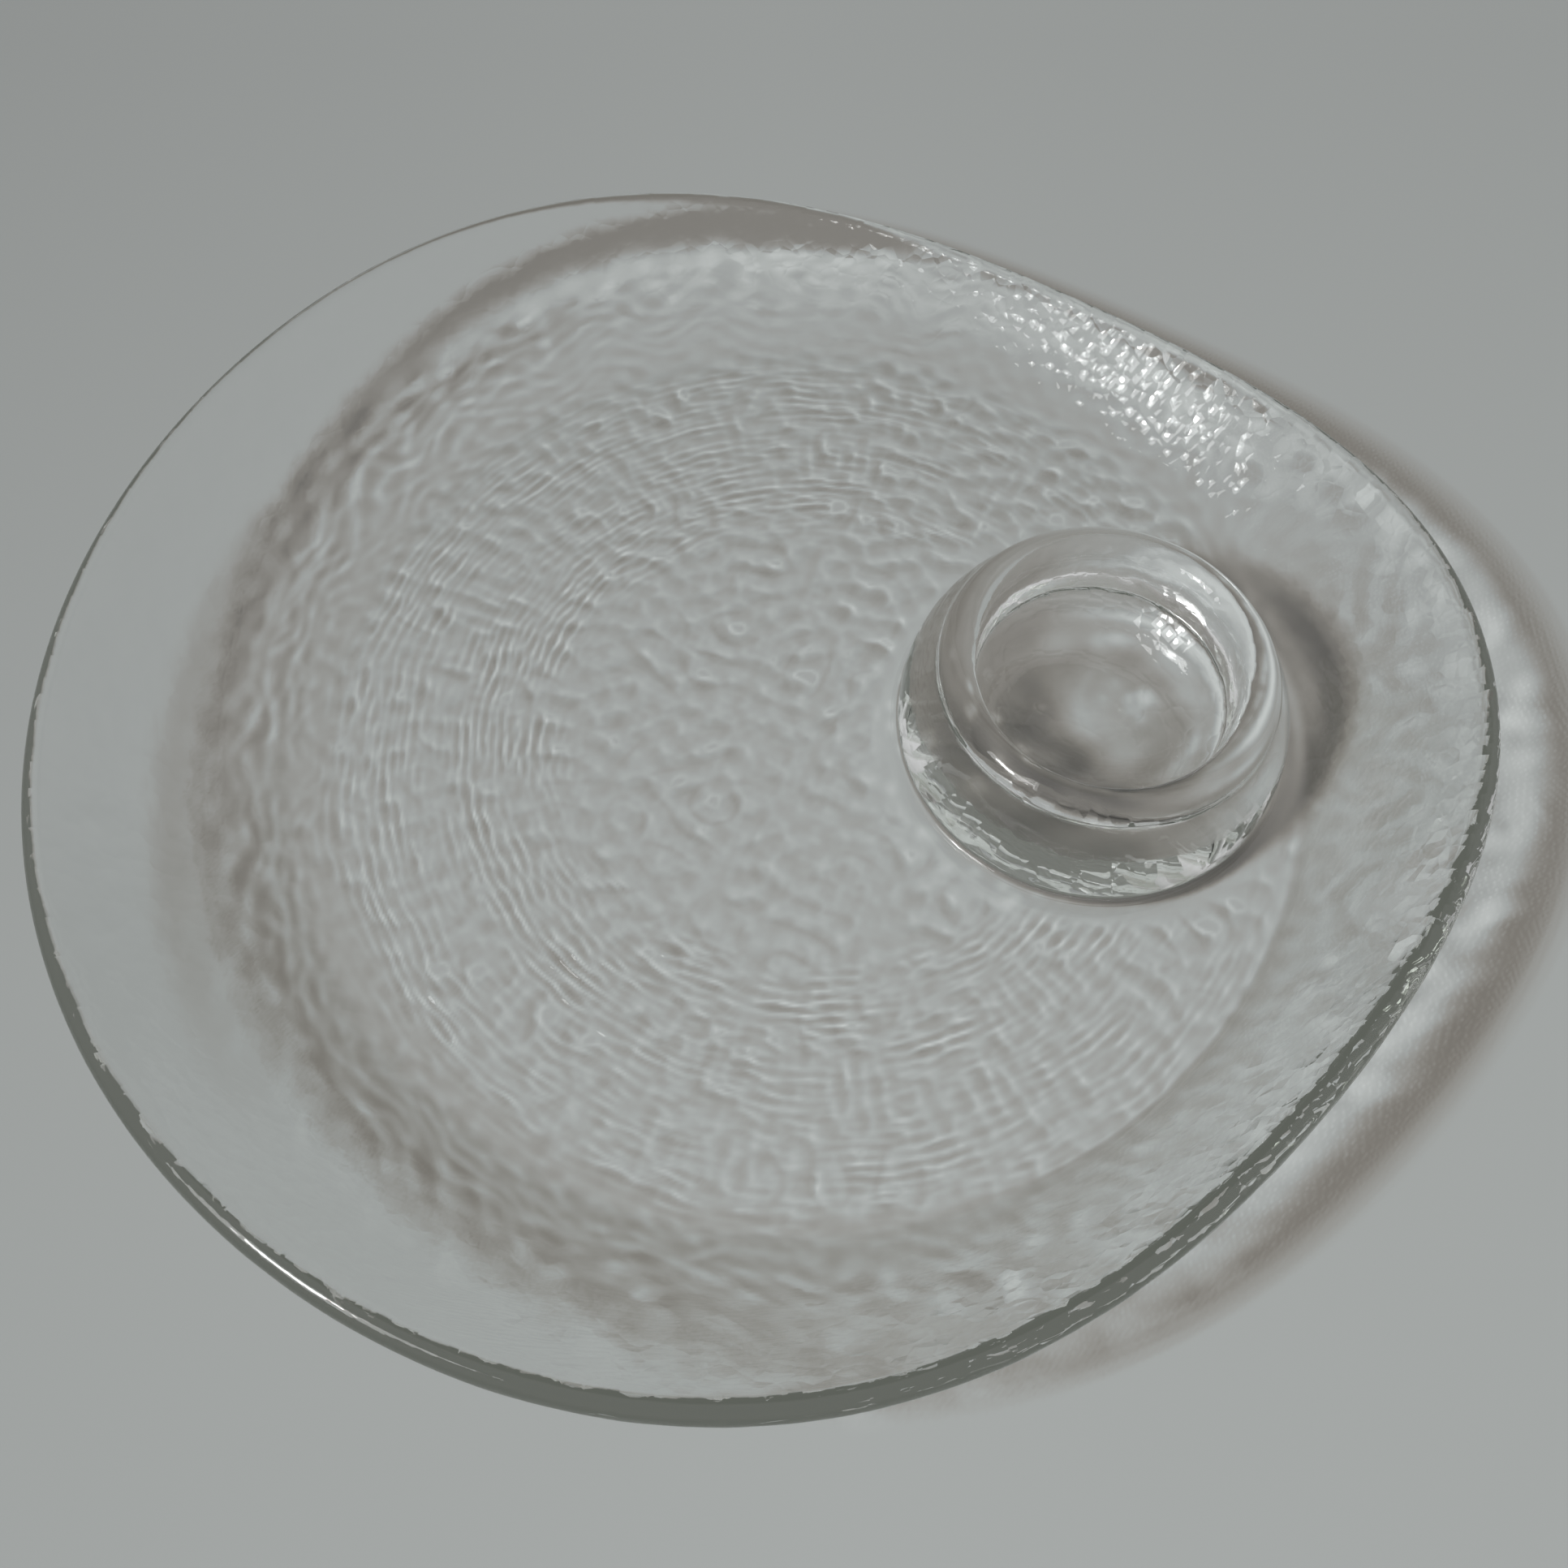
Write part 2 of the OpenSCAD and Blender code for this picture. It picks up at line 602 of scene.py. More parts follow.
@dataclass(frozen=True)
class PlateShell:
    """The plate's glass: its form with the hammered underside, as a closed mesh."""

    form: PlateForm
    hammered: HammeredFace
    upper_wave: Ripple = Ripple(31, 9 * MM, 22 * MM)
    upper_wave_h: float = 0.02 * MM
    upper_sunk: float = 2.0
    upper_from: Onset = Onset(0.0, 0.25)
    upper_until: Onset = Onset(0.8, 0.2)
    relief_fade: float = 3.0
    rim_edge: Onset = Onset(-8 * MM, 4 * MM)
    rim_knocks: float = 0.2
    right_side: Sector = Sector(-0.3, 0.6)
    right_knocks: float = 0.4
    dip_side: Sector = Sector(math.radians(62), math.radians(34))
    dip_from: Onset = Onset(114 * MM, 8 * MM)
    wall_knocks: float = 0.3
    wall_from: Onset = Onset(109 * MM, 9 * MM)
    around: int = 432
    fine_bands: tuple[tuple[float, float], ...] = ((58 * MM, 84 * MM), (92 * MM, 111 * MM))
    fine_step: float = 0.52 * MM
    plain_step: float = 0.95 * MM
    wall_steps: int = 34
    rim_steps: int = 10
    upper_steps: int = 24
    inner_rings: int = 8

    def stations(self) -> list[Station]:
        """Lists the section's stations.

        Returns:
            The stations, from the middle of the underside round the rim to the middle above.
        """
        floor = []
        r = 0.0
        while r < self.form.floor_r - self.fine_step / 2:
            floor.append(Station(Face.UNDER, radius=r))
            fine = any(start < r < end for start, end in self.fine_bands)
            r += self.fine_step if fine else self.plain_step
        under = [Station(Face.UNDER, i / self.wall_steps) for i in range(self.wall_steps)]
        rim = [Station(Face.RIM, i / self.rim_steps) for i in range(self.rim_steps + 1)]
        upper = [Station(Face.UPPER, 1 - i / self.upper_steps) for i in range(1, self.upper_steps + 1)]
        inner = [Station(Face.UPPER, radius=self.form.floor_r * (1 - i / self.inner_rings))
                 for i in range(1, self.inner_rings + 1)]
        return floor + under + rim + upper + inner

    def warp(self, co: np.ndarray, stations: list[Station]) -> np.ndarray:
        """Wraps a flat grid into the plate: one side runs round it, the other along its section.

        Args:
            co: The grid's corners, from -1 to 1 both ways.
            stations: The section's stations.

        Returns:
            The corners' places on the plate.
        """
        a = np.rint((co[:, 0] + 1) / 2 * self.around) % self.around * 2 * math.pi / self.around
        k = np.rint((co[:, 1] + 1) / 2 * (len(stations) - 1)).astype(int)
        face = np.array([station.face.value for station in stations])[k]
        share = np.array([station.share for station in stations])[k]
        radius = np.array([station.radius for station in stations])[k]
        flat = radius >= 0
        base_r, _ = self.form.place(a, face, share)
        base_r = np.where(flat, radius, base_r)
        spots = Spots(base_r * np.cos(a), base_r * np.sin(a))
        below = np.where(face == Face.UNDER.value, 1.0, 0.0)
        below += np.where(face == Face.RIM.value, np.clip(1 - self.relief_fade * share, 0, 1), 0.0)
        waved = self.upper_from.at(share) * (1 - self.upper_until.at(share))
        above = np.where((face == Face.UPPER.value) & ~flat, waved, 0.0)
        cut = below * self.hammered.depth(spots)
        cut += above * self.upper_wave_h * (self.upper_sunk + self.upper_wave.at(spots))
        wall_r, wall_z = self.form.place(a, face, share, cut)
        r = np.where(flat, radius, wall_r)
        level = np.where(face == Face.UNDER.value, cut, self.form.floor_t)
        z = np.where(flat, level, wall_z)
        return np.stack([r * np.cos(a), r * np.sin(a), z], axis=-1)

    def build(self) -> bpy.types.Object:
        """Models the plate from a grid that is wrapped round and drawn out to its place.

        Returns:
            The plate.
        """
        stations = self.stations()
        bm = bmesh.new()
        bmesh.ops.create_grid(bm, x_segments=self.around, y_segments=len(stations) - 1, size=1.0)
        mesh = bpy.data.meshes.new("plate_grid")
        bm.to_mesh(mesh)
        mesh.vertices.foreach_set("co", self.warp(places(mesh), stations).ravel())
        bm.clear()
        bm.from_mesh(mesh)
        bpy.data.meshes.remove(mesh)
        bmesh.ops.remove_doubles(bm, verts=bm.verts, dist=MERGED)
        plate = finished_object("plate_glass", bm)
        self.mark_knocks(plate.data)
        return plate

    def mark_knocks(self, mesh: bpy.types.Mesh) -> None:
        """Marks how strongly the plate is knocked: along the rim, at the dip and on the wall.

        Args:
            mesh: The plate's mesh.
        """
        spots = Spots(*places(mesh).T[:2])
        r = spots.r
        a = spots.a
        edge = self.rim_edge.at(r - self.form.reach(a))
        rim = (self.rim_knocks + self.right_knocks * self.right_side.at(a)) * edge
        dip = self.dip_side.at(a) * self.dip_from.at(r)
        wall = self.wall_knocks * self.wall_from.at(r) * (1 - edge)
        mark_points(mesh, Mark.KNOCKED, np.clip(rim + dip + wall, 0, 1))


@dataclass(frozen=True)
class CupForm:
    """The dip cup's shape: one turned profile with a swelling side, a round lip and a basin."""

    height: float = 28 * MM
    mouth_r: float = 29 * MM
    lip_w: float = 8.6 * MM
    foot_r: float = 45.6 * MM
    centre_x: float = 64.9 * MM
    toe_r: float = 1.6 * MM
    toe_turn: float = 75
    swell: float = 2.2 * MM
    basin_r: float = 28.2 * MM
    basin_edge: float = 14 * MM
    basin_t: float = 3.5 * MM
    toe_steps: int = 12
    side_steps: int = 20
    mouth_steps: int = 9
    round_steps: int = 32

    def profile(self) -> list[tuple[float, float]]:
        """Lists the profile's points, from the toe of the foot over the lip to the basin's middle.

        Returns:
            Radius and height over the floor of each point.
        """
        lip = self.lip_w / 2
        lip_z = self.height - lip
        points = arc((self.foot_r, self.toe_r), self.toe_r, 270, 270 - self.toe_turn, self.toe_steps)
        low_r, low_z = points[-1]
        run = self.mouth_r + self.lip_w - low_r
        rise = lip_z - low_z
        length = math.hypot(run, rise)
        for share in (i / self.side_steps for i in range(1, self.side_steps)):
            out = self.swell * math.sin(math.pi * share)
            points.append((low_r + run * share + out * rise / length,
                           low_z + rise * share - out * run / length))
        points += arc((self.mouth_r + lip, lip_z), lip, 0, 180, self.round_steps)
        for share in (i / self.mouth_steps for i in range(1, self.mouth_steps)):
            points.append((self.mouth_r + (self.basin_r - self.mouth_r) * share,
                           lip_z + (self.basin_edge - lip_z) * share))
        deep = self.basin_edge - self.basin_t
        ball = (self.basin_r ** 2 + deep ** 2) / (2 * deep)
        edge = math.degrees(math.asin(self.basin_r / ball))
        basin = arc((0.0, self.basin_t + ball), ball, edge - 90, -90, self.round_steps)
        return points + [(max(r, 0.0), z) for r, z in basin]


@dataclass(frozen=True)
class DipCup:
    """The dip cup's glass, whose foot sinks a little way into the floor's glass."""

    form: CupForm
    floor_z: float
    sunk: float = 0.3 * MM
    around: int = 256
    lumps: Patches = Patches(Ripple(37, 9 * MM, 18 * MM, 24), 0.5, 0.25, 0.0, 1.0)
    lump_h: float = 0.10 * MM
    lump_lean: tuple[float, float] = (0.7, -0.6)
    lumps_from: Onset = Onset(1.5 * MM, 3 * MM)
    past_mouth: Onset = Onset(0.0, 2 * MM)
    knocked_inside: float = 0.8
    knocked_outside: float = 0.14

    def build(self) -> bpy.types.Object:
        """Models the cup by spinning its profile.

        Returns:
            The cup.
        """
        base = [(0.0, -self.sunk), (self.form.foot_r, -self.sunk)]
        bm = bmesh.new()
        chain = [bm.verts.new((r, 0.0, z)) for r, z in base + self.form.profile()]
        edges = [bm.edges.new(pair) for pair in zip(chain, chain[1:])]
        bmesh.ops.spin(bm, geom=chain + edges, cent=(0, 0, 0), axis=(0, 0, 1),
                       angle=2 * math.pi, steps=self.around, use_merge=True, use_duplicate=False)
        bmesh.ops.remove_doubles(bm, verts=bm.verts, dist=MERGED)
        bmesh.ops.recalc_face_normals(bm, faces=bm.faces)
        self.dent(bm)
        bmesh.ops.translate(bm, verts=bm.verts, vec=(self.form.centre_x, 0, self.floor_z))
        cup = finished_object("dip_cup_glass", bm)
        self.mark_knocks(cup.data)
        return cup

    def dent(self, bm: bmesh.types.BMesh) -> None:
        """Dents the cup's free faces inwards by a hair, as hand-made glass is never quite even.

        Args:
            bm: The cup, still on the origin.
        """
        bm.normal_update()
        x, y, z = np.array([vert.co for vert in bm.verts]).T
        lean_x, lean_y = self.lump_lean
        share = self.lumps.at(Spots(x + lean_x * z, y + lean_y * z))
        depth = self.lump_h * share * self.lumps_from.at(z)
        for vert, deep in zip(bm.verts, depth):
            vert.co -= vert.normal * deep

    def mark_knocks(self, mesh: bpy.types.Mesh) -> None:
        """Marks the hollow of the cup as more knocked than its outside.

        Args:
            mesh: The cup's mesh.
        """
        x, y, _ = places(mesh).T
        away = np.hypot(x - self.form.centre_x, y)
        inside = 1 - self.past_mouth.at(away - self.form.mouth_r)
        values = self.knocked_outside + (self.knocked_inside - self.knocked_outside) * inside
        mark_points(mesh, Mark.KNOCKED, values)


@dataclass(frozen=True)
class Window:
    """The room's one window: its direction as seen from the plate, and its size."""

    azimuth: float = 209.6
    elevation: float = 51.0
    distance: float = 0.8
    width: float = 0.105
    height: float = 0.125
    energy: float = 1.4

    def direction(self) -> np.ndarray:
        """Works out where the window stands.

        Returns:
            The unit vector from the plate to the window's middle.
        """
        c, s = on_circle(self.azimuth)
        flat, up = on_circle(self.elevation)
        return np.array([c * flat, s * flat, up])

    def points(self, count: int) -> list[np.ndarray]:
        """Lists points spread evenly over the window.

        Args:
            count: How many points.

        Returns:
            The points' places.
        """
        out = self.direction()
        side = np.cross([0.0, 0.0, 1.0], out)
        side /= np.linalg.norm(side)
        up = np.cross(out, side)
        points = []
        for k in range(count):
            across, along = ((0.5 + k * stride) % 1 - 0.5 for stride in EVEN_STRIDES)
            points.append(out * self.distance + side * self.width * across + up * self.height * along)
        return points

    def build(self, name: str) -> bpy.types.Object:
        """Adds the window as an area lamp.

        Args:
            name: Name of the lamp.

        Returns:
            The lamp.
        """
        out = Vector(self.direction())
        data = bpy.data.lights.new(name, "AREA")
        data.shape = "RECTANGLE"
        data.size = self.width
        data.size_y = self.height
        data.energy = self.energy
        lamp = bpy.data.objects.new(name, data)
        link(lamp)
        lamp.location = out * self.distance
        lamp.rotation_mode = "QUATERNION"
        lamp.rotation_quaternion = out.to_track_quat("Z", "Y")
        return lamp


@dataclass
class Rays:
    """A bundle of light rays: where they are, where they go and how much light they carry."""

    spot: np.ndarray
    way: np.ndarray
    light: np.ndarray

    def picked(self, keep: np.ndarray) -> "Rays":
        """Gives only the rays that the mask keeps."""
        return Rays(self.spot[:, keep], self.way[:, keep], self.light[keep])

    def bend(self, normal: np.ndarray, ratio: float) -> np.ndarray:
        """Refracts the rays at a face, and takes off the light that it reflects.

        Args:
            normal: The face's unit normals, against the rays.
            ratio: Refractive index before the face over the one behind it.

        Returns:
            True where a ray passes, and False where the face reflects all of it.
        """
        into = -(self.way * normal).sum(axis=0)
        rest = 1 - ratio ** 2 * (1 - into ** 2)
        passes = rest > 0
        behind = np.sqrt(np.maximum(rest, 0))
        straight = (ratio * into - behind) / (ratio * into + behind + TINY)
        crossed = (into - ratio * behind) / (into + ratio * behind + TINY)
        self.way = np.where(passes, ratio * self.way + (ratio * into - behind) * normal, self.way)
        self.light = np.where(passes, self.light * (1 - (straight ** 2 + crossed ** 2) / 2), self.light)
        return passes

    def mirror(self, normal: np.ndarray, which: np.ndarray) -> None:
        """Reflects some of the rays at a face whose unit normals stand against them."""
        into = (self.way * normal).sum(axis=0)
        self.way = np.where(which, self.way - 2 * into * normal, self.way)


def upright(slope_x: np.ndarray, slope_y: np.ndarray) -> np.ndarray:
    """Gives the unit normals, upwards, of a face with the given slopes."""
    length = np.sqrt(1 + slope_x ** 2 + slope_y ** 2)
    return np.stack([-slope_x / length, -slope_y / length, 1 / length])


def blended(table: np.ndarray, rows: tuple[np.ndarray, np.ndarray], column: np.ndarray,
            u: np.ndarray, v: np.ndarray) -> np.ndarray:
    """Reads a table between its entries.

    Args:
        table: The table.
        rows: The rows on both sides of each place.
        column: The column before each place.
        u: Share of the way from the first row to the second.
        v: Share of the way to the next column.

    Returns:
        The values, blended from the four nearest entries.
    """
    here, after = rows
    near = table[here, column] * (1 - u) + table[after, column] * u
    far = table[here, column + 1] * (1 - u) + table[after, column + 1] * u
    return near * (1 - v) + far * v


class PolarSheet:
    """The heights of one face of the plate, as a table of directions and radii."""

    least_r: float = 0.5 * MM

    def __init__(self, heights: np.ndarray, step: float) -> None:
        """Takes the heights in, one row per direction and one column per radius.

        Args:
            heights: The table, not a number past the rim.
            step: Distance from one column to the next.
        """
        self.heights = heights
        self.step = step
        turns = 2 * (2 * math.pi / len(heights))
        self.outward = np.gradient(heights, step, axis=1)
        self.around = (np.roll(heights, -1, axis=0) - np.roll(heights, 1, axis=0)) / turns

    def read(self, tables: list[np.ndarray], spots: Spots) -> list[np.ndarray]:
        """Reads tables at places.

        Args:
            tables: Tables laid out as the heights are.
            spots: The places.

        Returns:
            One array of values per table.
        """
        rows, columns = self.heights.shape
        turn = spots.a % (2 * math.pi) * rows / (2 * math.pi)
        out = spots.r / self.step
        i = turn.astype(int)
        j = np.minimum(out.astype(int), columns - 2)
        u = turn - i
        v = np.clip(out - j, 0, 1)
        return [blended(table, (i % rows, (i + 1) % rows), j, u, v) for table in tables]

    def height(self, spots: Spots) -> np.ndarray:
        """Gives the face's height at places."""
        return self.read([self.heights], spots)[0]

    def slopes(self, spots: Spots) -> tuple[np.ndarray, np.ndarray]:
        """Gives the face's slopes at places.

        Args:
            spots: The places.

        Returns:
            The slopes along x and along y.
        """
        outward, around = self.read([self.outward, self.around], spots)
        r = np.maximum(spots.r, self.least_r)
        c, s = spots.x / r, spots.y / r
        return outward * c - around * s / r, outward * s + around * c / r


@dataclass
class PlateSheets:
    """Both faces of the plate as tables that light rays can be followed through."""

    form: PlateForm
    hammered: HammeredFace
    directions: int = 1440
    step: float = 0.25 * MM
    farthest: float = 172 * MM
    wall_samples: int = 60
    rim_samples: int = 24
    edge_gap: float = 0.1 * MM
    steepest: float = 2.5
    deepest: float = 0.5
    upper: PolarSheet = field(init=False)
    under: PolarSheet = field(init=False)

    def __post_init__(self) -> None:
        """Works the two tables out."""
        a = np.arange(self.directions)[:, None] * 2 * math.pi / self.directions
        radii = np.arange(0, self.farthest, self.step)
        share = np.linspace(0, 1, self.wall_samples)[None, :]
        bead = np.linspace(0, 1, self.rim_samples)[None, :]
        rim_r, rim_z = self.form.place(a, np.full(bead.shape, Face.RIM.value), bead)
        top = []
        low = []
        for face, rows, level in ((Face.UNDER, low, 0.0), (Face.UPPER, top, self.form.floor_t)):
            wall_r, wall_z = self.form.place(a, np.full(share.shape, face.value), share)
            for k in range(self.directions):
                tip = int(np.argmax(rim_r[k]))
                part = slice(0, tip + 1) if face is Face.UNDER else slice(tip, None)
                r = np.concatenate([[0, self.form.floor_r - self.edge_gap], wall_r[k], rim_r[k, part]])
                z = np.concatenate([[level, level], wall_z[k], rim_z[k, part]])
                order = np.argsort(r, kind="stable")
                rows.append(np.interp(radii, r[order], z[order], right=np.nan))
        upper, under = np.array(top), np.array(low)
        steep = np.sqrt(1 + np.nan_to_num(np.gradient(under, self.step, axis=1)) ** 2)
        depth = self.hammered.depth(Spots(radii * np.cos(a), radii * np.sin(a)))
        depth *= np.minimum(steep, self.steepest)
        under = under + np.minimum(depth, self.deepest * np.nan_to_num(upper - under))
        self.upper = PolarSheet(upper, self.step)
        self.under = PolarSheet(under, self.step)


@dataclass
class CupField:
    """The distance to the skin of cup and floor together, in the cup's own half plane."""

    form: CupForm
    floor_t: float
    step: float = 0.25 * MM
    farthest: float = 80 * MM
    below: float = 2 * MM
    least_r: float = 0.01 * MM
    distance: np.ndarray = field(init=False)
    outward: np.ndarray = field(init=False)
    upward: np.ndarray = field(init=False)

    def __post_init__(self) -> None:
        """Works the table of distances out: below zero inside the glass."""
        wide = 3 * self.farthest
        cup = [(r, z + self.floor_t) for r, z in self.form.profile()]
        ring = np.array([(0.0, 0.0), (wide, 0.0), (wide, self.floor_t)] + cup)
        tall = self.floor_t + self.form.height + 2 * MM
        r = np.arange(0, self.farthest, self.step)[:, None]
        z = np.arange(-self.below, tall, self.step)[None, :]
        nearest = np.full((r.shape[0], z.shape[1]), wide)
        inside = np.zeros(nearest.shape, dtype=bool)
        for k, (r0, z0) in enumerate(ring):
            r1, z1 = ring[(k + 1) % len(ring)]
            dr, dz = r1 - r0, z1 - z0
            if k < len(ring) - 1:
                along = np.clip(((r - r0) * dr + (z - z0) * dz) / (dr * dr + dz * dz), 0, 1)
                nearest = np.minimum(nearest, np.hypot(r - r0 - along * dr, z - z0 - along * dz))
            if z0 != z1:
                crosses = (z0 > z) != (z1 > z)
                inside ^= crosses & (r < r0 + (z - z0) / (z1 - z0) * dr)
        self.distance = np.where(inside, -nearest, nearest)
        self.outward, self.upward = np.gradient(self.distance, self.step)

    def read(self, table: np.ndarray, spot: np.ndarray) -> np.ndarray:
        """Reads a table at places of the scene.

        Args:
            table: A table laid out as the distances are.
            spot: The places, three rows.

        Returns:
            The table's values there.
        """
        out = np.hypot(spot[0] - self.form.centre_x, spot[1]) / self.step
        up = (spot[2] + self.below) / self.step
        i = np.clip(out.astype(int), 0, table.shape[0] - 2)
        j = np.clip(up.astype(int), 0, table.shape[1] - 2)
        u = np.clip(out - i, 0, 1)
        v = np.clip(up - j, 0, 1)
        return blended(table, (i, i + 1), j, u, v)

    def normal(self, spot: np.ndarray) -> np.ndarray:
        """Works out which way the skin faces.

        Args:
            spot: Places next to the skin, three rows.

        Returns:
            The skin's unit normals there, out of the glass.
        """
        r = np.maximum(np.hypot(spot[0] - self.form.centre_x, spot[1]), self.least_r)
        out = self.read(self.outward, spot)
        up = self.read(self.upward, spot)
        normal = np.stack([out * (spot[0] - self.form.centre_x) / r, out * spot[1] / r, up])
        return normal / np.maximum(np.linalg.norm(normal, axis=0), TINY)

    def march(self, spot: np.ndarray, way: np.ndarray, side: np.ndarray, steps: int = 24) -> np.ndarray:
        """Moves rays on to where they next meet the skin.

        Args:
            spot: Where they start.
            way: Their unit directions.
            side: 1 for a ray outside the glass and -1 for one inside.
            steps: How many strides they take at most.

        Returns:
            Where they end.
        """
        for _ in range(steps):
            spot = spot + way * np.maximum(self.read(self.distance, spot) * side, 0)
        return spot


@dataclass(frozen=True)
class RimLens:
    """What the thick rounded rim does to light that passes near it, given rather than traced.

    The glass thins to its rim, which bends the light inwards like the edge of a lens, most of all
    at the dip. Beyond the cup it bends the light outwards and gathers light of the whole room.
    """

    form: PlateForm
    bend: float = 8 * MM
    behind: Facing = Facing(40.0, Onset(-0.6, 0.5))
    tip_bend: float = -7.5 * MM
    tip: Lobe = Lobe(12.0, 8)
    dip_bend: float = 5 * MM
    dip: Lobe = Lobe(98.0, 4)
    calm: Band = Band(68.0, 17.0)
    calm_share: float = 0.85
    ragged: RimRipple = RimRipple(51, 20, 75, 0.07)
    reach: float = 6 * MM
    dip_reach: float = 14 * MM
    gathering: Lobe = Lobe(12.0, 4)
    gathered_gain: float = 1.2
    gathered_reach: float = 10 * MM

    def inside(self, spots: Spots) -> np.ndarray:
        """Gives how far places lie inside the rim."""
        return np.maximum(self.form.reach(spots.a) - spots.r, 0)

    def inward(self, spots: Spots) -> np.ndarray:
        """Gives how far light is thrown inwards.

        Args:
            spots: Where it leaves the glass.

        Returns:
            The shift on the table, two rows.
        """
        a = spots.a
        dip = self.dip.at(a)
        bend = self.bend * self.behind.at(a) + self.tip_bend * self.tip.at(a) + self.dip_bend * dip
        bend *= 1 - self.calm_share * self.calm.at(np.degrees(a))
        bend *= 1 + self.ragged.at(a)
        bend *= np.exp(-self.inside(spots) / (self.reach + (self.dip_reach - self.reach) * dip))
        return -np.stack([spots.x, spots.y]) / np.maximum(spots.r, MM) * bend

    def gathered(self, spots: Spots) -> np.ndarray:
        """Gives how much brighter light gets.

        Args:
            spots: Where it leaves the glass, after it is thrown inwards.

        Returns:
            The factor, 1 for no change.
        """
        fall = np.exp(-self.inside(spots) / self.gathered_reach)
        return 1 + self.gathered_gain * self.gathering.at(spots.a) * fall


@dataclass
class ThrownLight:
    """The window's light as the glass throws it on the table.

    Rays from points of the window are followed through both faces of the plate, and through the
    cup, down to the table. What arrives and what the glass takes away are summed on a fine grid.
    """

    window: Window
    sheets: PlateSheets
    cup: CupField
    lens: RimLens
    low: float = -190 * MM
    cell: float = 0.6 * MM
    cells: int = 680
    ray_gap: float = 0.62 * MM
    window_points: int = 16
    grid_turn: float = 0.31
    stand: float = 1.8 * MM
    index: float = 1.5
    plate_reach: float = 168 * MM
    rim_gap: float = 0.02 * MM
    flattest: float = 0.05
    cup_steps: int = 32
    past_cup_steps: int = 16
    first_run: float = 0.9
    least_fall: float = 0.2
    under_steps: int = 6
    under_stride: float = 2 * MM
    least_closing: float = 0.15
    found_within: float = 0.3 * MM
    start_off: float = 0.3 * MM
    clear_by: float = 0.15 * MM
    above_cup: float = 0.5 * MM
    over_floor: float = 0.1 * MM
    bounces: int = 8
    nudge: float = 0.05 * MM
    met_within: float = 0.08 * MM
    arrived: np.ndarray = field(init=False)
    taken: np.ndarray = field(init=False)
    cup_arrived: np.ndarray = field(init=False)
    cup_taken: np.ndarray = field(init=False)

    def __post_init__(self) -> None:
        """Follows all the rays."""
        self.arrived, self.taken, self.cup_arrived, self.cup_taken = np.zeros((4, (self.cells + 1) ** 2))
        for k, source in enumerate(self.window.points(self.window_points)):
            self.through_plate(source, self.grid_turn * k)
            self.through_cup(source, self.grid_turn * k)

    def grid(self) -> Spots:
        """Gives the places of the grid's points, one row for each step along x."""
        line = self.low + np.arange(self.cells + 1) * self.cell
        return Spots(*np.meshgrid(line, line, indexing="ij"))

    def put(self, store: np.ndarray, x: np.ndarray, y: np.ndarray, light: np.ndarray) -> np.ndarray:
        """Adds light to the four grid points round each place.

        Args:
            store: The grid of sums so far.
            x: First coordinate of the places.
            y: Second coordinate.
            light: How much each brings, where 1 is the table's open light on one ray's share.

        Returns:
            The new sums.
        """
        across = (x - self.low) / self.cell
        along = (y - self.low) / self.cell
        keep = (across > 0) & (along > 0) & (across < self.cells) & (along < self.cells)
        across, along, light = across[keep], along[keep], light[keep]
        light = light * (self.ray_gap / self.cell) ** 2 / self.window_points
        i, j = across.astype(int), along.astype(int)
        u, v = across - i, along - j
        row = self.cells + 1
        for add, part in ((0, (1 - u) * (1 - v)), (row, u * (1 - v)), (1, (1 - u) * v), (row + 1, u * v)):
            store = store + np.bincount(i * row + j + add, weights=light * part, minlength=row * row)
        return store

    def land(self, store: np.ndarray, rays: Rays) -> np.ndarray:
        """Adds what rays that have left the glass downwards bring to the table.

        Args:
            store: The grid of sums so far.
            rays: The rays.

        Returns:
            The new sums.
        """
        down = (rays.way[2] < -self.flattest) & np.isfinite(rays.light) & (rays.light > 0)
        rays = rays.picked(down)
        fall = (rays.spot[2] + self.stand) / rays.way[2]
        return self.put(store, rays.spot[0] - rays.way[0] * fall,
                        rays.spot[1] - rays.way[1] * fall, rays.light)

    def take(self, store: np.ndarray, spot: np.ndarray, out: np.ndarray, light: np.ndarray) -> np.ndarray:
        """Adds what the table loses where rays towards it have met the glass instead.

        Args:
            store: The grid of sums so far.
            spot: Where the rays met the glass.
            out: Unit vectors from there to the window.
            light: How much light they carried.

        Returns:
            The new sums.
        """
        fall = (spot[2] + self.stand) / out[2]
        return self.put(store, spot[0] - out[0] * fall, spot[1] - out[1] * fall, light)

    def spread(self, source: np.ndarray, z: np.ndarray) -> np.ndarray:
        """Gives how much wider a ray's share of the table is than its share at a height."""
        tall = source[2] + self.stand
        return (tall / (source[2] - z)) ** 2

    def ray_grid(self, reach: float, turn: float) -> tuple[np.ndarray, np.ndarray]:
        """Lays out an even grid of ray starts over a disc.

        Args:
            reach: Radius of the disc.
            turn: How far the grid is turned, in radians.

        Returns:
            Both coordinates of the starts, about the disc's middle.
        """
        side = np.arange(-reach, reach, self.ray_gap)
        x, y = (grid.ravel() for grid in np.meshgrid(side, side, indexing="ij"))
        keep = np.hypot(x, y) < reach
        x, y = x[keep], y[keep]
        c, s = math.cos(turn), math.sin(turn)
        return c * x - s * y, s * x + c * y

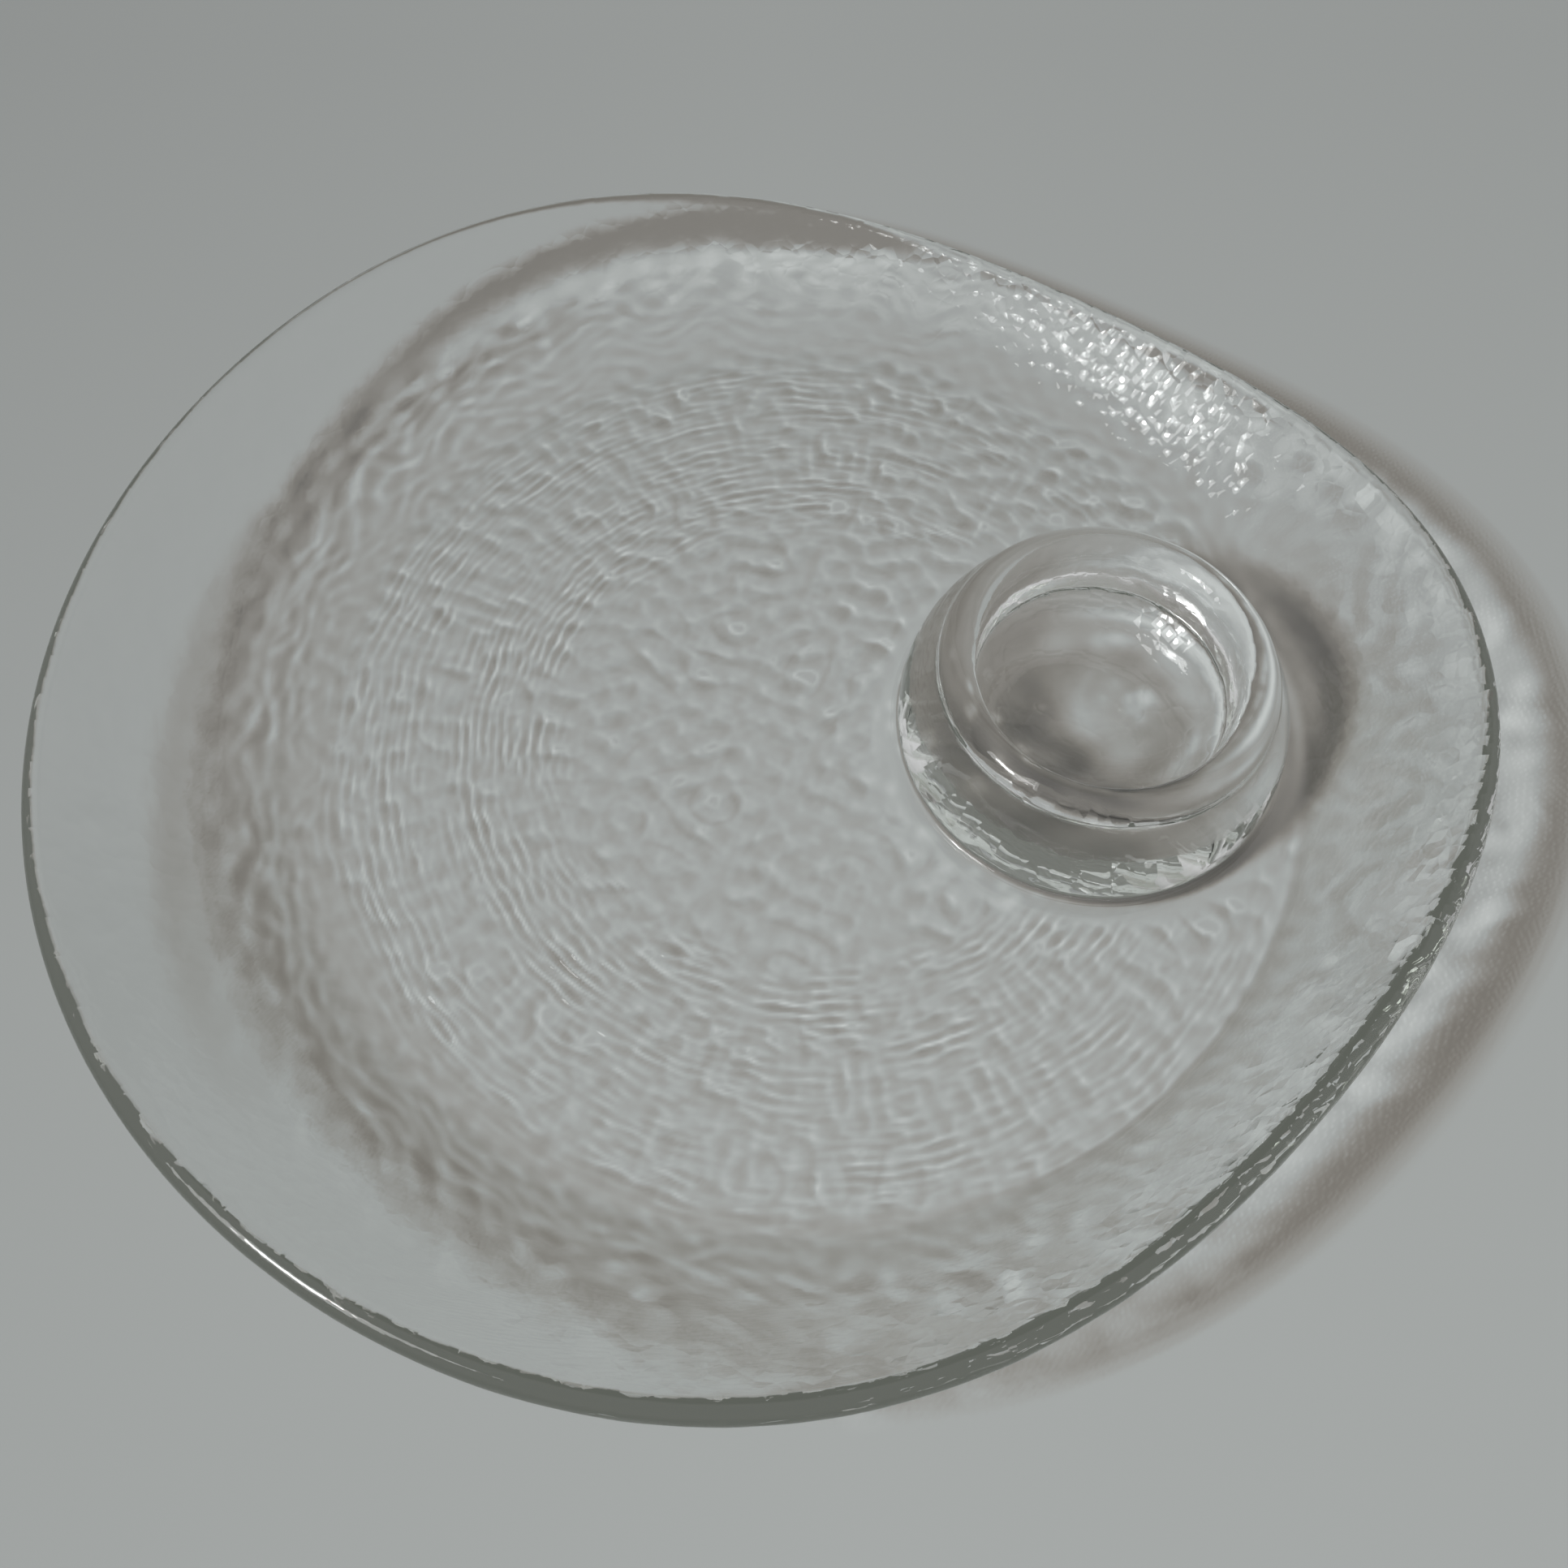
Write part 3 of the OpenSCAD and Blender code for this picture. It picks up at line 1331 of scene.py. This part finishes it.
    def through_plate(self, source: np.ndarray, turn: float) -> None:
        """Follows the rays that meet the plate's upper face first.

        Args:
            source: The point of the window.
            turn: How far the grid of rays is turned, in radians.
        """
        starts = Spots(*self.ray_grid(self.plate_reach, turn))
        within = starts.r < self.sheets.form.reach(starts.a) - self.rim_gap
        starts = Spots(starts.x[within], starts.y[within])
        z = self.sheets.upper.height(starts)
        slope_x, slope_y = self.sheets.upper.slopes(starts)
        spot = np.stack([starts.x, starts.y, z])
        out = source[:, None] - spot
        out /= np.linalg.norm(out, axis=0)
        light = (out[2] - out[0] * slope_x - out[1] * slope_y) / out[2] * self.spread(source, z)
        lit = np.isfinite(z) & np.isfinite(light) & (light > 0)
        lit[lit] &= self.open_sky(spot[:, lit], out[:, lit])
        rays = Rays(spot[:, lit], -out[:, lit], light[lit])
        self.taken = self.take(self.taken, rays.spot, out[:, lit], rays.light)
        rays.bend(upright(slope_x[lit], slope_y[lit]), 1 / self.index)
        self.leave_plate(rays)

    def open_sky(self, spot: np.ndarray, out: np.ndarray) -> np.ndarray:
        """Tells which places on the plate see the window past the cup.

        Args:
            spot: The places.
            out: Unit vectors from them to the window.

        Returns:
            True where the window is in sight.
        """
        away = np.hypot(spot[0] - self.cup.form.centre_x, spot[1])
        free = away > self.cup.form.foot_r
        near = free & (away < self.cup.form.foot_r + 2 * self.cup.form.height)
        start = spot[:, near] + out[:, near] * self.start_off
        end = self.cup.march(start, out[:, near], np.ones(start.shape[1]), self.past_cup_steps)
        free[near] = self.cup.read(self.cup.distance, end) > self.clear_by
        return free

    def leave_plate(self, rays: Rays) -> None:
        """Takes rays inside the plate's glass out through its underside and on to the table.

        Args:
            rays: The rays, at the upper face.
        """
        under = self.sheets.under
        run = self.first_run * self.sheets.form.floor_t / np.maximum(-rays.way[2], self.least_fall)
        for _ in range(self.under_steps):
            x, y, z = rays.spot + rays.way * run
            slope_x, slope_y = under.slopes(Spots(x, y))
            over = z - under.height(Spots(x, y))
            closing = rays.way[2] - slope_x * rays.way[0] - slope_y * rays.way[1]
            closing = np.where(np.abs(closing) > self.least_closing, closing, -self.least_closing)
            step = np.clip(over / closing, -self.under_stride, self.under_stride)
            run = np.maximum(np.where(np.isfinite(step), run - step, run), self.rim_gap)
        rays.spot = rays.spot + rays.way * run
        x, y, z = rays.spot
        spots = Spots(x, y)
        level = under.height(spots)
        found = np.isfinite(level) & (np.abs(z - level) < self.found_within)
        passes = rays.bend(upright(*under.slopes(spots)), self.index)
        rays.spot[:2] += self.lens.inward(spots)
        rays.light *= self.lens.gathered(Spots(*rays.spot[:2]))
        self.arrived = self.land(self.arrived, rays.picked(found & passes))

    def through_cup(self, source: np.ndarray, turn: float) -> None:
        """Follows the rays that meet the cup first: those that it lets in, and those it mirrors.

        Args:
            source: The point of the window.
            turn: How far the grid of rays is turned, in radians.
        """
        form = self.cup.form
        start_z = self.cup.floor_t + form.height + self.above_cup
        lean = (source[:2] - [form.centre_x, 0]) / source[2] * form.height
        x, y = self.ray_grid(2 * form.foot_r, turn)
        spot = np.stack([x + form.centre_x + lean[0] / 2, y + lean[1] / 2, np.full(len(x), start_z)])
        way = spot - source[:, None]
        way /= np.linalg.norm(way, axis=0)
        end = self.cup.march(spot, way, np.ones(len(x)), self.cup_steps)
        away = np.hypot(end[0] - form.centre_x, end[1])
        hit = (end[2] > self.cup.floor_t + self.over_floor) | (away < form.foot_r)
        spot, end, way = spot[:, hit], end[:, hit], way[:, hit]
        light = self.spread(source, spot[2])
        self.taken = self.take(self.taken, spot, -way, light)
        self.cup_taken = self.take(self.cup_taken, spot, -way, light)
        normal = self.cup.normal(end)
        entering = Rays(end.copy(), way.copy(), light.copy())
        entering.bend(normal, 1 / self.index)
        glancing = Rays(end.copy(), way.copy(), light - entering.light)
        glancing.mirror(normal, np.ones(len(light), dtype=bool))
        self.follow(entering, -np.ones(len(light)))
        self.follow(glancing, np.ones(len(light)))

    def follow(self, rays: Rays, side: np.ndarray) -> None:
        """Follows rays from face to face of the cup and the floor under it, down to the table.

        Args:
            rays: The rays, next to the skin.
            side: 1 for a ray outside the glass and -1 for one inside.
        """
        for _ in range(self.bounces):
            if rays.spot.shape[1] == 0:
                return
            rays.spot = self.cup.march(rays.spot + rays.way * self.nudge, rays.way, side)
            met = np.abs(self.cup.read(self.cup.distance, rays.spot)) < self.met_within
            outside = side > 0
            left = outside & (rays.way[2] < 0) & (rays.spot[2] < 0)
            self.cup_arrived = self.land(self.cup_arrived, rays.picked(left))
            stay = met & ~left
            rays, side = rays.picked(stay), side[stay]
            normal = self.cup.normal(rays.spot)
            x, y, z = rays.spot
            sheet = np.abs(z) < self.over_floor
            relief = -upright(*self.sheets.under.slopes(Spots(x, y)))
            normal = np.where(sheet & np.isfinite(relief).all(axis=0), relief, normal)
            normal = normal * side
            facing = (normal * rays.way).sum(axis=0) < 0
            rays, side, normal = rays.picked(facing), side[facing], normal[:, facing]
            ratio = np.where(side > 0, 1 / self.index, self.index)
            passes = rays.bend(normal, ratio)
            rays.mirror(normal, ~passes)
            side = np.where(passes, -side, side)

def softened(light: np.ndarray, steps: int) -> np.ndarray:
    """Spreads the light of each grid point over its neighbours.

    Args:
        light: The light on the grid.
        steps: How many times it is spread.

    Returns:
        The softened light.
    """
    for _ in range(steps):
        for axis in (0, 1):
            light = (np.roll(light, 1, axis) + 2 * light + np.roll(light, -1, axis)) / 4
    return light


@dataclass(frozen=True)
class TableLight:
    """The light on the table: what was thrown there, and what following rays alone misses.

    The window gives part of the open light, and the room gives the rest. The patches and shares are
    given rather than traced. Their directions are in degrees, round the plate's middle or round the
    cup's.
    """

    thrown: ThrownLight
    brightest: float = 3.5
    window_part: float = 0.46
    soft_steps: int = 2
    cup_soft_steps: int = 6
    outer: Onset = Onset(106 * MM, 10 * MM)
    thin_side: Facing = Facing(30.0, Onset(-0.3, 0.6))
    haze_side: Band = Band(125.0, 32.0)
    haze_from: Onset = Onset(147 * MM, 6 * MM)
    haze_steps: int = 36
    # Painted shade: soft blotches in the cup's shade, only near the cup's middle.
    shade_blotches: Patches = Patches(Ripple(41, 8 * MM, 20 * MM, 24), 0.0, 0.24, -0.48, 0.48)
    shade_blotches_until: Onset = Onset(32 * MM, 8 * MM)
    basin_share: float = 0.75
    basin_until: Onset = Onset(38 * MM, 10 * MM)
    # Painted light: the cup's shade is lifted under its left side and under its basin.
    lifted_shade_ring: SoftPatch = SoftPatch(Band(180.0, 60.0), Band(38 * MM, 12 * MM), 0.85)
    lifted_shade_patch: SoftPatch = SoftPatch(Band(145.0, 42.0), Band(25 * MM, 12 * MM), 0.5)
    room_loss: float = 0.01
    cup_loss: float = 0.46
    rim_loss: float = 0.15
    # Painted shade: round the front of the cup's foot, and on the wall beyond the cup.
    foot_front: SoftPatch = SoftPatch(Band(-100.0, 70.0), Band(38 * MM, 8 * MM), 0.4)
    far_wall: SoftPatch = SoftPatch(Band(4.0, 34.0), Band(145 * MM, 17 * MM), 0.22)
    # Painted shade: an arc near the rim on the left.
    arc_side: Facing = Facing(160.0, Onset(0.5, 0.4))
    arc_band: Band = Band(143.5 * MM, 7.5 * MM)
    arc_loss: float = 0.5
    # Painted light: the cup's upper flank keeps more light, and a glow lies under the wall at the dip.
    lit_flank: SoftPatch = SoftPatch(Band(92.0, 36.0), Band(48 * MM, 12 * MM), 0.6)
    under_dip: SoftPatch = SoftPatch(Band(57.0, 27.0), Band(143 * MM, 10 * MM), 0.18)

    def arrived(self, spots: Spots) -> np.ndarray:
        """Gives the window's light that arrives through the glass, softer past the floor.

        Args:
            spots: The grid's points.

        Returns:
            The light, 1 for the window's open light.
        """
        light, from_cup = (np.minimum(sums, self.brightest).reshape(spots.x.shape)
                           for sums in (self.thrown.arrived, self.thrown.cup_arrived))
        soft = softened(light, self.soft_steps)
        soft += (softened(soft, self.soft_steps) - soft) * self.thin_side.at(spots.a)
        light = light + (soft - light) * self.outer.at(spots.r)
        hazy = self.haze_side.at(spots.degrees) * self.haze_from.at(spots.r)
        light = light + (softened(light, self.haze_steps) - light) * hazy
        return light + softened(from_cup, self.cup_soft_steps)

    def under_cup(self, spots: Spots, flank: np.ndarray, away: np.ndarray) -> np.ndarray:
        """Gives how much of the room's light the cup takes.

        Args:
            spots: The grid's points.
            flank: Their direction from the cup's middle, in degrees.
            away: Their distance from it.

        Returns:
            The shares, 0 for none.
        """
        share = np.clip(self.thrown.cup_taken, 0, 1).reshape(away.shape)
        share *= self.basin_share + (1 - self.basin_share) * self.basin_until.at(away)
        share *= 1 + self.shade_blotches.at(spots) * (1 - self.shade_blotches_until.at(away))
        share *= 1 - self.lifted_shade_ring.at(np.abs(flank), away)
        return share * (1 - self.lifted_shade_patch.at(flank, away))

    def shares(self) -> np.ndarray:
        """Puts the table's light together.

        Returns:
            The light on the grid, as a share of the table's open light.
        """
        spots = self.thrown.grid()
        around, r = spots.degrees, spots.r
        from_cup = Spots(spots.x - self.thrown.cup.form.centre_x, spots.y)
        flank, away = from_cup.degrees, from_cup.r
        window = self.thrown.window
        middle = window.direction() * window.distance
        gap = (spots.x - middle[0]) ** 2 + (spots.y - middle[1]) ** 2 + middle[2] ** 2
        part = self.window_part * window.distance ** 2 / gap
        taken = np.clip(self.thrown.taken, 0, 1).reshape(r.shape)
        arrived = self.arrived(spots)
        shade = softened(np.clip(taken - arrived, 0, 1), self.cup_soft_steps)
        room = self.room_loss * taken + self.rim_loss * shade
        room += self.cup_loss * self.under_cup(spots, flank, away)
        room += self.foot_front.at(flank, away) + self.far_wall.at(around, r)
        room += self.arc_loss * self.arc_side.at(spots.a) * self.arc_band.at(r)
        lost = part * (taken - arrived) + (1 - part) * room
        glow = self.under_dip.at(around, r)
        return 1 - lost * (1 - self.lit_flank.at(flank, away)) + glow


class Rise(Enum):
    """How a ramp rises."""

    EVEN = "LINEAR"
    SMOOTH = "SMOOTHSTEP"


Feed = bpy.types.NodeSocket | float | tuple[float, ...]


@dataclass(frozen=True)
class NodeKit:
    """Adds shader nodes to a tree, each fed by other nodes' outputs and by constants."""

    tree: bpy.types.NodeTree

    def feed(self, node: bpy.types.Node, inputs: dict[str | int, Feed]) -> None:
        """Feeds a node's inputs.

        Args:
            node: The node.
            inputs: For each input's name or number, an output to wire to it or its constant.
        """
        for name, value in inputs.items():
            if isinstance(value, bpy.types.NodeSocket):
                self.tree.links.new(value, node.inputs[name])
            else:
                node.inputs[name].default_value = value

    def add(self, kind: str, output: str, inputs: dict[str | int, Feed] | None = None,
            **options: str) -> bpy.types.NodeSocket:
        """Adds a node.

        Args:
            kind: The node's type, without the word Shader.
            output: Name of the output that is wanted.
            inputs: What feeds its inputs.
            options: Values of its own fields.

        Returns:
            The output.
        """
        node = self.tree.nodes.new("Shader" + kind)
        for name, value in options.items():
            setattr(node, name, value)
        self.feed(node, inputs or {})
        return node.outputs[output]

    def math(self, operation: str, *values: Feed) -> bpy.types.NodeSocket:
        """Adds a calculation with numbers."""
        return self.add("NodeMath", "Value", dict(enumerate(values)), operation=operation)

    def vector(self, operation: str, *values: Feed) -> bpy.types.NodeSocket:
        """Adds a calculation with vectors or colours."""
        return self.add("NodeVectorMath", "Vector", dict(enumerate(values)), operation=operation)

    def mix(self, share: Feed, a: Feed, b: Feed) -> bpy.types.NodeSocket:
        """Adds a blend of two colours: a where the share is 0 and b where it is 1."""
        return self.add("NodeMix", "Result", {"Factor": share, "A": a, "B": b}, data_type="RGBA")

    def ramp(self, value: Feed, start: float, end: float, low: float = 0.0,
             how: Rise = Rise.EVEN) -> bpy.types.NodeSocket:
        """Adds a ramp.

        Args:
            value: What it follows.
            start: The value where it leaves low.
            end: The value where it reaches 1.
            low: Its height at the start.
            how: How it rises.

        Returns:
            Its height.
        """
        span = {"Value": value, "From Min": start, "From Max": end, "To Min": low}
        return self.add("NodeMapRange", "Result", span, interpolation_type=how.value)

    def coordinates(self, kind: str) -> list[bpy.types.NodeSocket]:
        """Gives the x, y and z of a texture coordinate."""
        spot = self.add("NodeTexCoord", kind)
        return list(self.add("NodeSeparateXYZ", "X", {"Vector": spot}).node.outputs)


def new_material(name: str) -> tuple[bpy.types.Material, NodeKit]:
    """Makes an empty material.

    Args:
        name: Its name.
    """
    material = bpy.data.materials.new(name)
    material.use_nodes = True
    return material, NodeKit(material.node_tree)


@dataclass(frozen=True)
class ClearGlass:
    """The glass of plate and cup, with the faint green of plain soda glass.

    Where the cup is fused to the floor, neither face of the seam is there, so light passes
    straight on. A path still in the glass after a few bounces ends in a painted glow, a dim grey
    green emission that stands in for light trapped inside.
    """

    seat_x: float
    seat_r: float
    seat_z: float
    tint: tuple[float, float, float] = (0.975, 0.985, 0.983)
    painted_caught_glow: tuple[float, float, float] = (0.110, 0.118, 0.102)
    caught_after: float = 5.5
    index: float = 1.5
    knock_depth: float = 0.34 * MM
    knock_scale: float = 270.0
    above_seam: float = 0.002 * MM
    below_seam: float = 0.5 * MM

    def knocked(self, kit: NodeKit) -> bpy.types.NodeSocket:
        """Builds the small knocks of rim, wall and cup.

        Args:
            kit: Adds the nodes.

        Returns:
            The normal that the knocks give.
        """
        spot = kit.add("NodeTexCoord", "Object")
        cells = kit.add("NodeTexVoronoi", "Distance", {"Vector": spot, "Scale": self.knock_scale})
        where = kit.add("NodeAttribute", "Fac", attribute_name=Mark.KNOCKED.value)
        height = kit.math("MULTIPLY", kit.math("POWER", cells, 2.0), where)
        return kit.add("NodeBump", "Normal", {"Distance": self.knock_depth, "Height": height})

    def seam(self, kit: NodeKit) -> bpy.types.NodeSocket:
        """Builds the mask of the seam.

        Args:
            kit: Adds the nodes.

        Returns:
            The mask, 0 on the faces of the seam and 1 elsewhere.
        """
        x, y, z = kit.coordinates("Object")
        aside = kit.math("SUBTRACT", x, self.seat_x)
        square = kit.math("ADD", kit.math("MULTIPLY", aside, aside), kit.math("MULTIPLY", y, y))
        outside = kit.math("GREATER_THAN", kit.math("SQRT", square), self.seat_r)
        above = kit.math("GREATER_THAN", z, self.seat_z + self.above_seam)
        below = kit.math("LESS_THAN", z, self.seat_z - self.below_seam)
        return kit.math("MAXIMUM", kit.math("MAXIMUM", above, below), outside)

    def build(self) -> bpy.types.Material:
        """Makes the material.

        Returns:
            The material.
        """
        material, kit = new_material("clear_glass")
        # Painted glow: a path still in the glass after a few bounces ends in a dim grey green emission.
        late = kit.math("GREATER_THAN", kit.add("NodeLightPath", "Ray Depth"), self.caught_after)
        kit.feed(kit.tree.nodes["Principled BSDF"], {
            "Base Color": (*self.tint, 1),
            "Roughness": 0.0,
            "IOR": self.index,
            "Transmission Weight": 1.0,
            "Emission Strength": 1.0,
            "Emission Color": kit.mix(late, (0, 0, 0, 1), (*self.painted_caught_glow, 1)),
            "Alpha": self.seam(kit),
            "Normal": self.knocked(kit)})
        return material


@dataclass(frozen=True)
class TablePaintAndLight:
    """The table's pale matt painted top; painted light makes it paler towards the front and darker on the
    left.
    """

    back: tuple[float, float, float] = (0.309, 0.322, 0.317)
    front: tuple[float, float, float] = (0.372, 0.389, 0.383)
    shade: tuple[float, float, float] = (1.11, 1.0, 0.91)
    left: float = 0.86
    reach: float = 0.24
    shade_from: float = 0.5
    roughness: float = 0.8
    specular: float = 0.1

    def build(self) -> bpy.types.Material:
        """Makes the material, which takes the thrown light from the mesh.

        Returns:
            The material.
        """
        material, kit = new_material("table_paint_and_light")
        x, y, _ = kit.coordinates("Object")
        # Painted light falloff: darker towards the back, paler towards the front.
        paint_and_light = kit.mix(kit.ramp(y, self.reach, -self.reach), (*self.back, 1), (*self.front, 1))
        # Painted light and shade: the glass's thrown light from the mesh scales the colour, and the shade
        # is painted warmer.
        thrown = kit.add("NodeAttribute", "Fac", attribute_name=Mark.THROWN_LIGHT.value)
        lit = kit.ramp(thrown, self.shade_from, 1.0)
        warmed = kit.vector("MULTIPLY", paint_and_light, kit.mix(lit, (*self.shade, 1), (1, 1, 1, 1)))
        # Painted light falloff: the light is dimmed towards the left.
        share = kit.math("MULTIPLY", thrown, kit.ramp(x, -self.reach, 0.0, self.left))
        colour = kit.add("NodeVectorMath", "Vector", {0: warmed, "Scale": share}, operation="SCALE")
        kit.feed(kit.tree.nodes["Principled BSDF"], {
            "Base Color": colour, "Roughness": self.roughness, "Specular IOR Level": self.specular})
        return material


@dataclass(frozen=True)
class Table:
    """The table: one flat grid, fine under the plate, that carries the thrown light."""

    light: TableLight
    paint_and_light: TablePaintAndLight
    half_size: float = 3.0
    sunk: float = 0.01 * MM

    def build(self) -> bpy.types.Object:
        """Makes the table and paints it.

        Returns:
            The table.
        """
        grid = self.light.thrown
        bm = bmesh.new()
        bmesh.ops.create_grid(bm, x_segments=grid.cells, y_segments=grid.cells, size=1.0)
        piece = finished_object("table", bm)
        mesh = piece.data
        co = places(mesh)
        lines = np.rint((co[:, :2] + 1) / 2 * grid.cells).astype(int)
        flat = grid.low + lines * grid.cell
        flat = np.where(lines == 0, -self.half_size, flat)
        co[:, :2] = np.where(lines == grid.cells, self.half_size, flat)
        co[:, 2] = -self.sunk
        mesh.vertices.foreach_set("co", co.ravel())
        mark_points(mesh, Mark.THROWN_LIGHT, self.light.shares()[lines[:, 0], lines[:, 1]])
        mesh.update()
        mesh.materials.append(self.paint_and_light.build())
        return piece


@dataclass(frozen=True)
class Room:
    """The soft light of the room: brighter overhead, and dim on the side across the table."""

    low: float = 0.32
    high: float = 0.62
    top: float = 0.6
    far: tuple[float, float, float] = (0.165, 0.172, 0.155)
    aside: float = -0.7
    near_span: tuple[float, float] = (0.45, -0.05)
    above_span: tuple[float, float] = (0.68, 0.88)

    def build(self) -> None:
        """Makes the world."""
        world = bpy.data.worlds.new("room")
        bpy.context.scene.world = world
        world.use_nodes = True
        kit = NodeKit(world.node_tree)
        x, y, z = kit.coordinates("Generated")
        bright = kit.add("NodeValToRGB", "Color", {"Fac": z})
        dim_end, bright_end = bright.node.color_ramp.elements
        dim_end.color = (self.low, self.low, self.low, 1)
        bright_end.position = self.top
        bright_end.color = (self.high, self.high, self.high, 1)
        across = kit.math("MULTIPLY_ADD", kit.math("ABSOLUTE", x), self.aside, y)
        near = kit.ramp(across, *self.near_span, how=Rise.SMOOTH)
        above = kit.ramp(z, *self.above_span, how=Rise.SMOOTH)
        colour = kit.mix(kit.math("MAXIMUM", near, above), (*self.far, 1), bright)
        kit.feed(kit.tree.nodes["Background"], {"Color": colour})


@dataclass(frozen=True)
class Viewpoint:
    """The camera: a phone held over the plate."""

    eye: tuple[float, float, float] = (-19.88 * MM, -172.12 * MM, 322.4 * MM)
    aim: tuple[float, float, float] = (-5.74 * MM, -10.54 * MM, 0.0)
    roll: float = 3.0
    lens: float = 35.963
    sensor: float = 36.0
    clip: tuple[float, float] = (0.01, 50.0)

    def turn(self) -> Quaternion:
        """Gives the camera's turn: towards its aim, rolled a little."""
        look = (Vector(self.aim) - Vector(self.eye)).to_track_quat("-Z", "Y")
        return look @ Euler((0, 0, math.radians(self.roll))).to_quaternion()

    def build(self) -> None:
        """Adds the camera."""
        data = bpy.data.cameras.new("camera")
        data.sensor_width = self.sensor
        data.lens = self.lens
        data.clip_start, data.clip_end = self.clip
        camera = bpy.data.objects.new("camera", data)
        link(camera)
        camera.location = self.eye
        camera.rotation_mode = "QUATERNION"
        camera.rotation_quaternion = self.turn()
        bpy.context.scene.camera = camera


def dress(piece: bpy.types.Object, glass: bpy.types.Material, node: str) -> None:
    """Gives a glass piece its finish and its place in the model.

    Its shadow is part of the light that the table carries, so it casts no other.

    Args:
        piece: The object.
        glass: Its material.
        node: The node of the model that it replaces.
    """
    piece.data.materials.append(glass)
    piece.visible_shadow = False
    piece.visible_diffuse = False
    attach(piece, "root")
    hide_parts(node)
    LOG.info("%s: %d faces", piece.name, len(piece.data.polygons))


def main() -> None:
    """Builds the plate, the cup, the table with its thrown light, and the room."""
    logging.basicConfig(level=logging.INFO, format="%(message)s")
    bpy.context.scene.view_settings.view_transform = "Standard"
    form = PlateForm()
    hammered = HammeredFace()
    cup = CupForm()
    window = Window()
    glass = ClearGlass(cup.centre_x, cup.foot_r + SEAT_MARGIN, form.floor_t).build()
    dress(PlateShell(form, hammered).build(), glass, "plate")
    dress(DipCup(cup, form.floor_t).build(), glass, "dip_cup")
    sheets = PlateSheets(form, hammered)
    thrown = ThrownLight(window, sheets, CupField(cup, form.floor_t), RimLens(form))
    table = Table(TableLight(thrown), TablePaintAndLight()).build()
    LOG.info("%s: %d faces", table.name, len(table.data.polygons))
    # The table takes the window's light from the mesh, so the lamp itself lights only the glass
    window.build("window").visible_diffuse = False
    surround = Window(distance=0.83, width=0.31, height=0.33)
    surround.build("window_surround").visible_diffuse = False
    # The rest of the day's light comes from afar, and shows in no glass
    far_window = Window(azimuth=208, elevation=50, distance=5.5, width=1.3, height=1.3, energy=201)
    daylight = far_window.build("daylight")
    daylight.visible_glossy = False
    daylight.visible_transmission = False
    Room().build()
    Viewpoint().build()


if __name__ == "__main__":
    main()
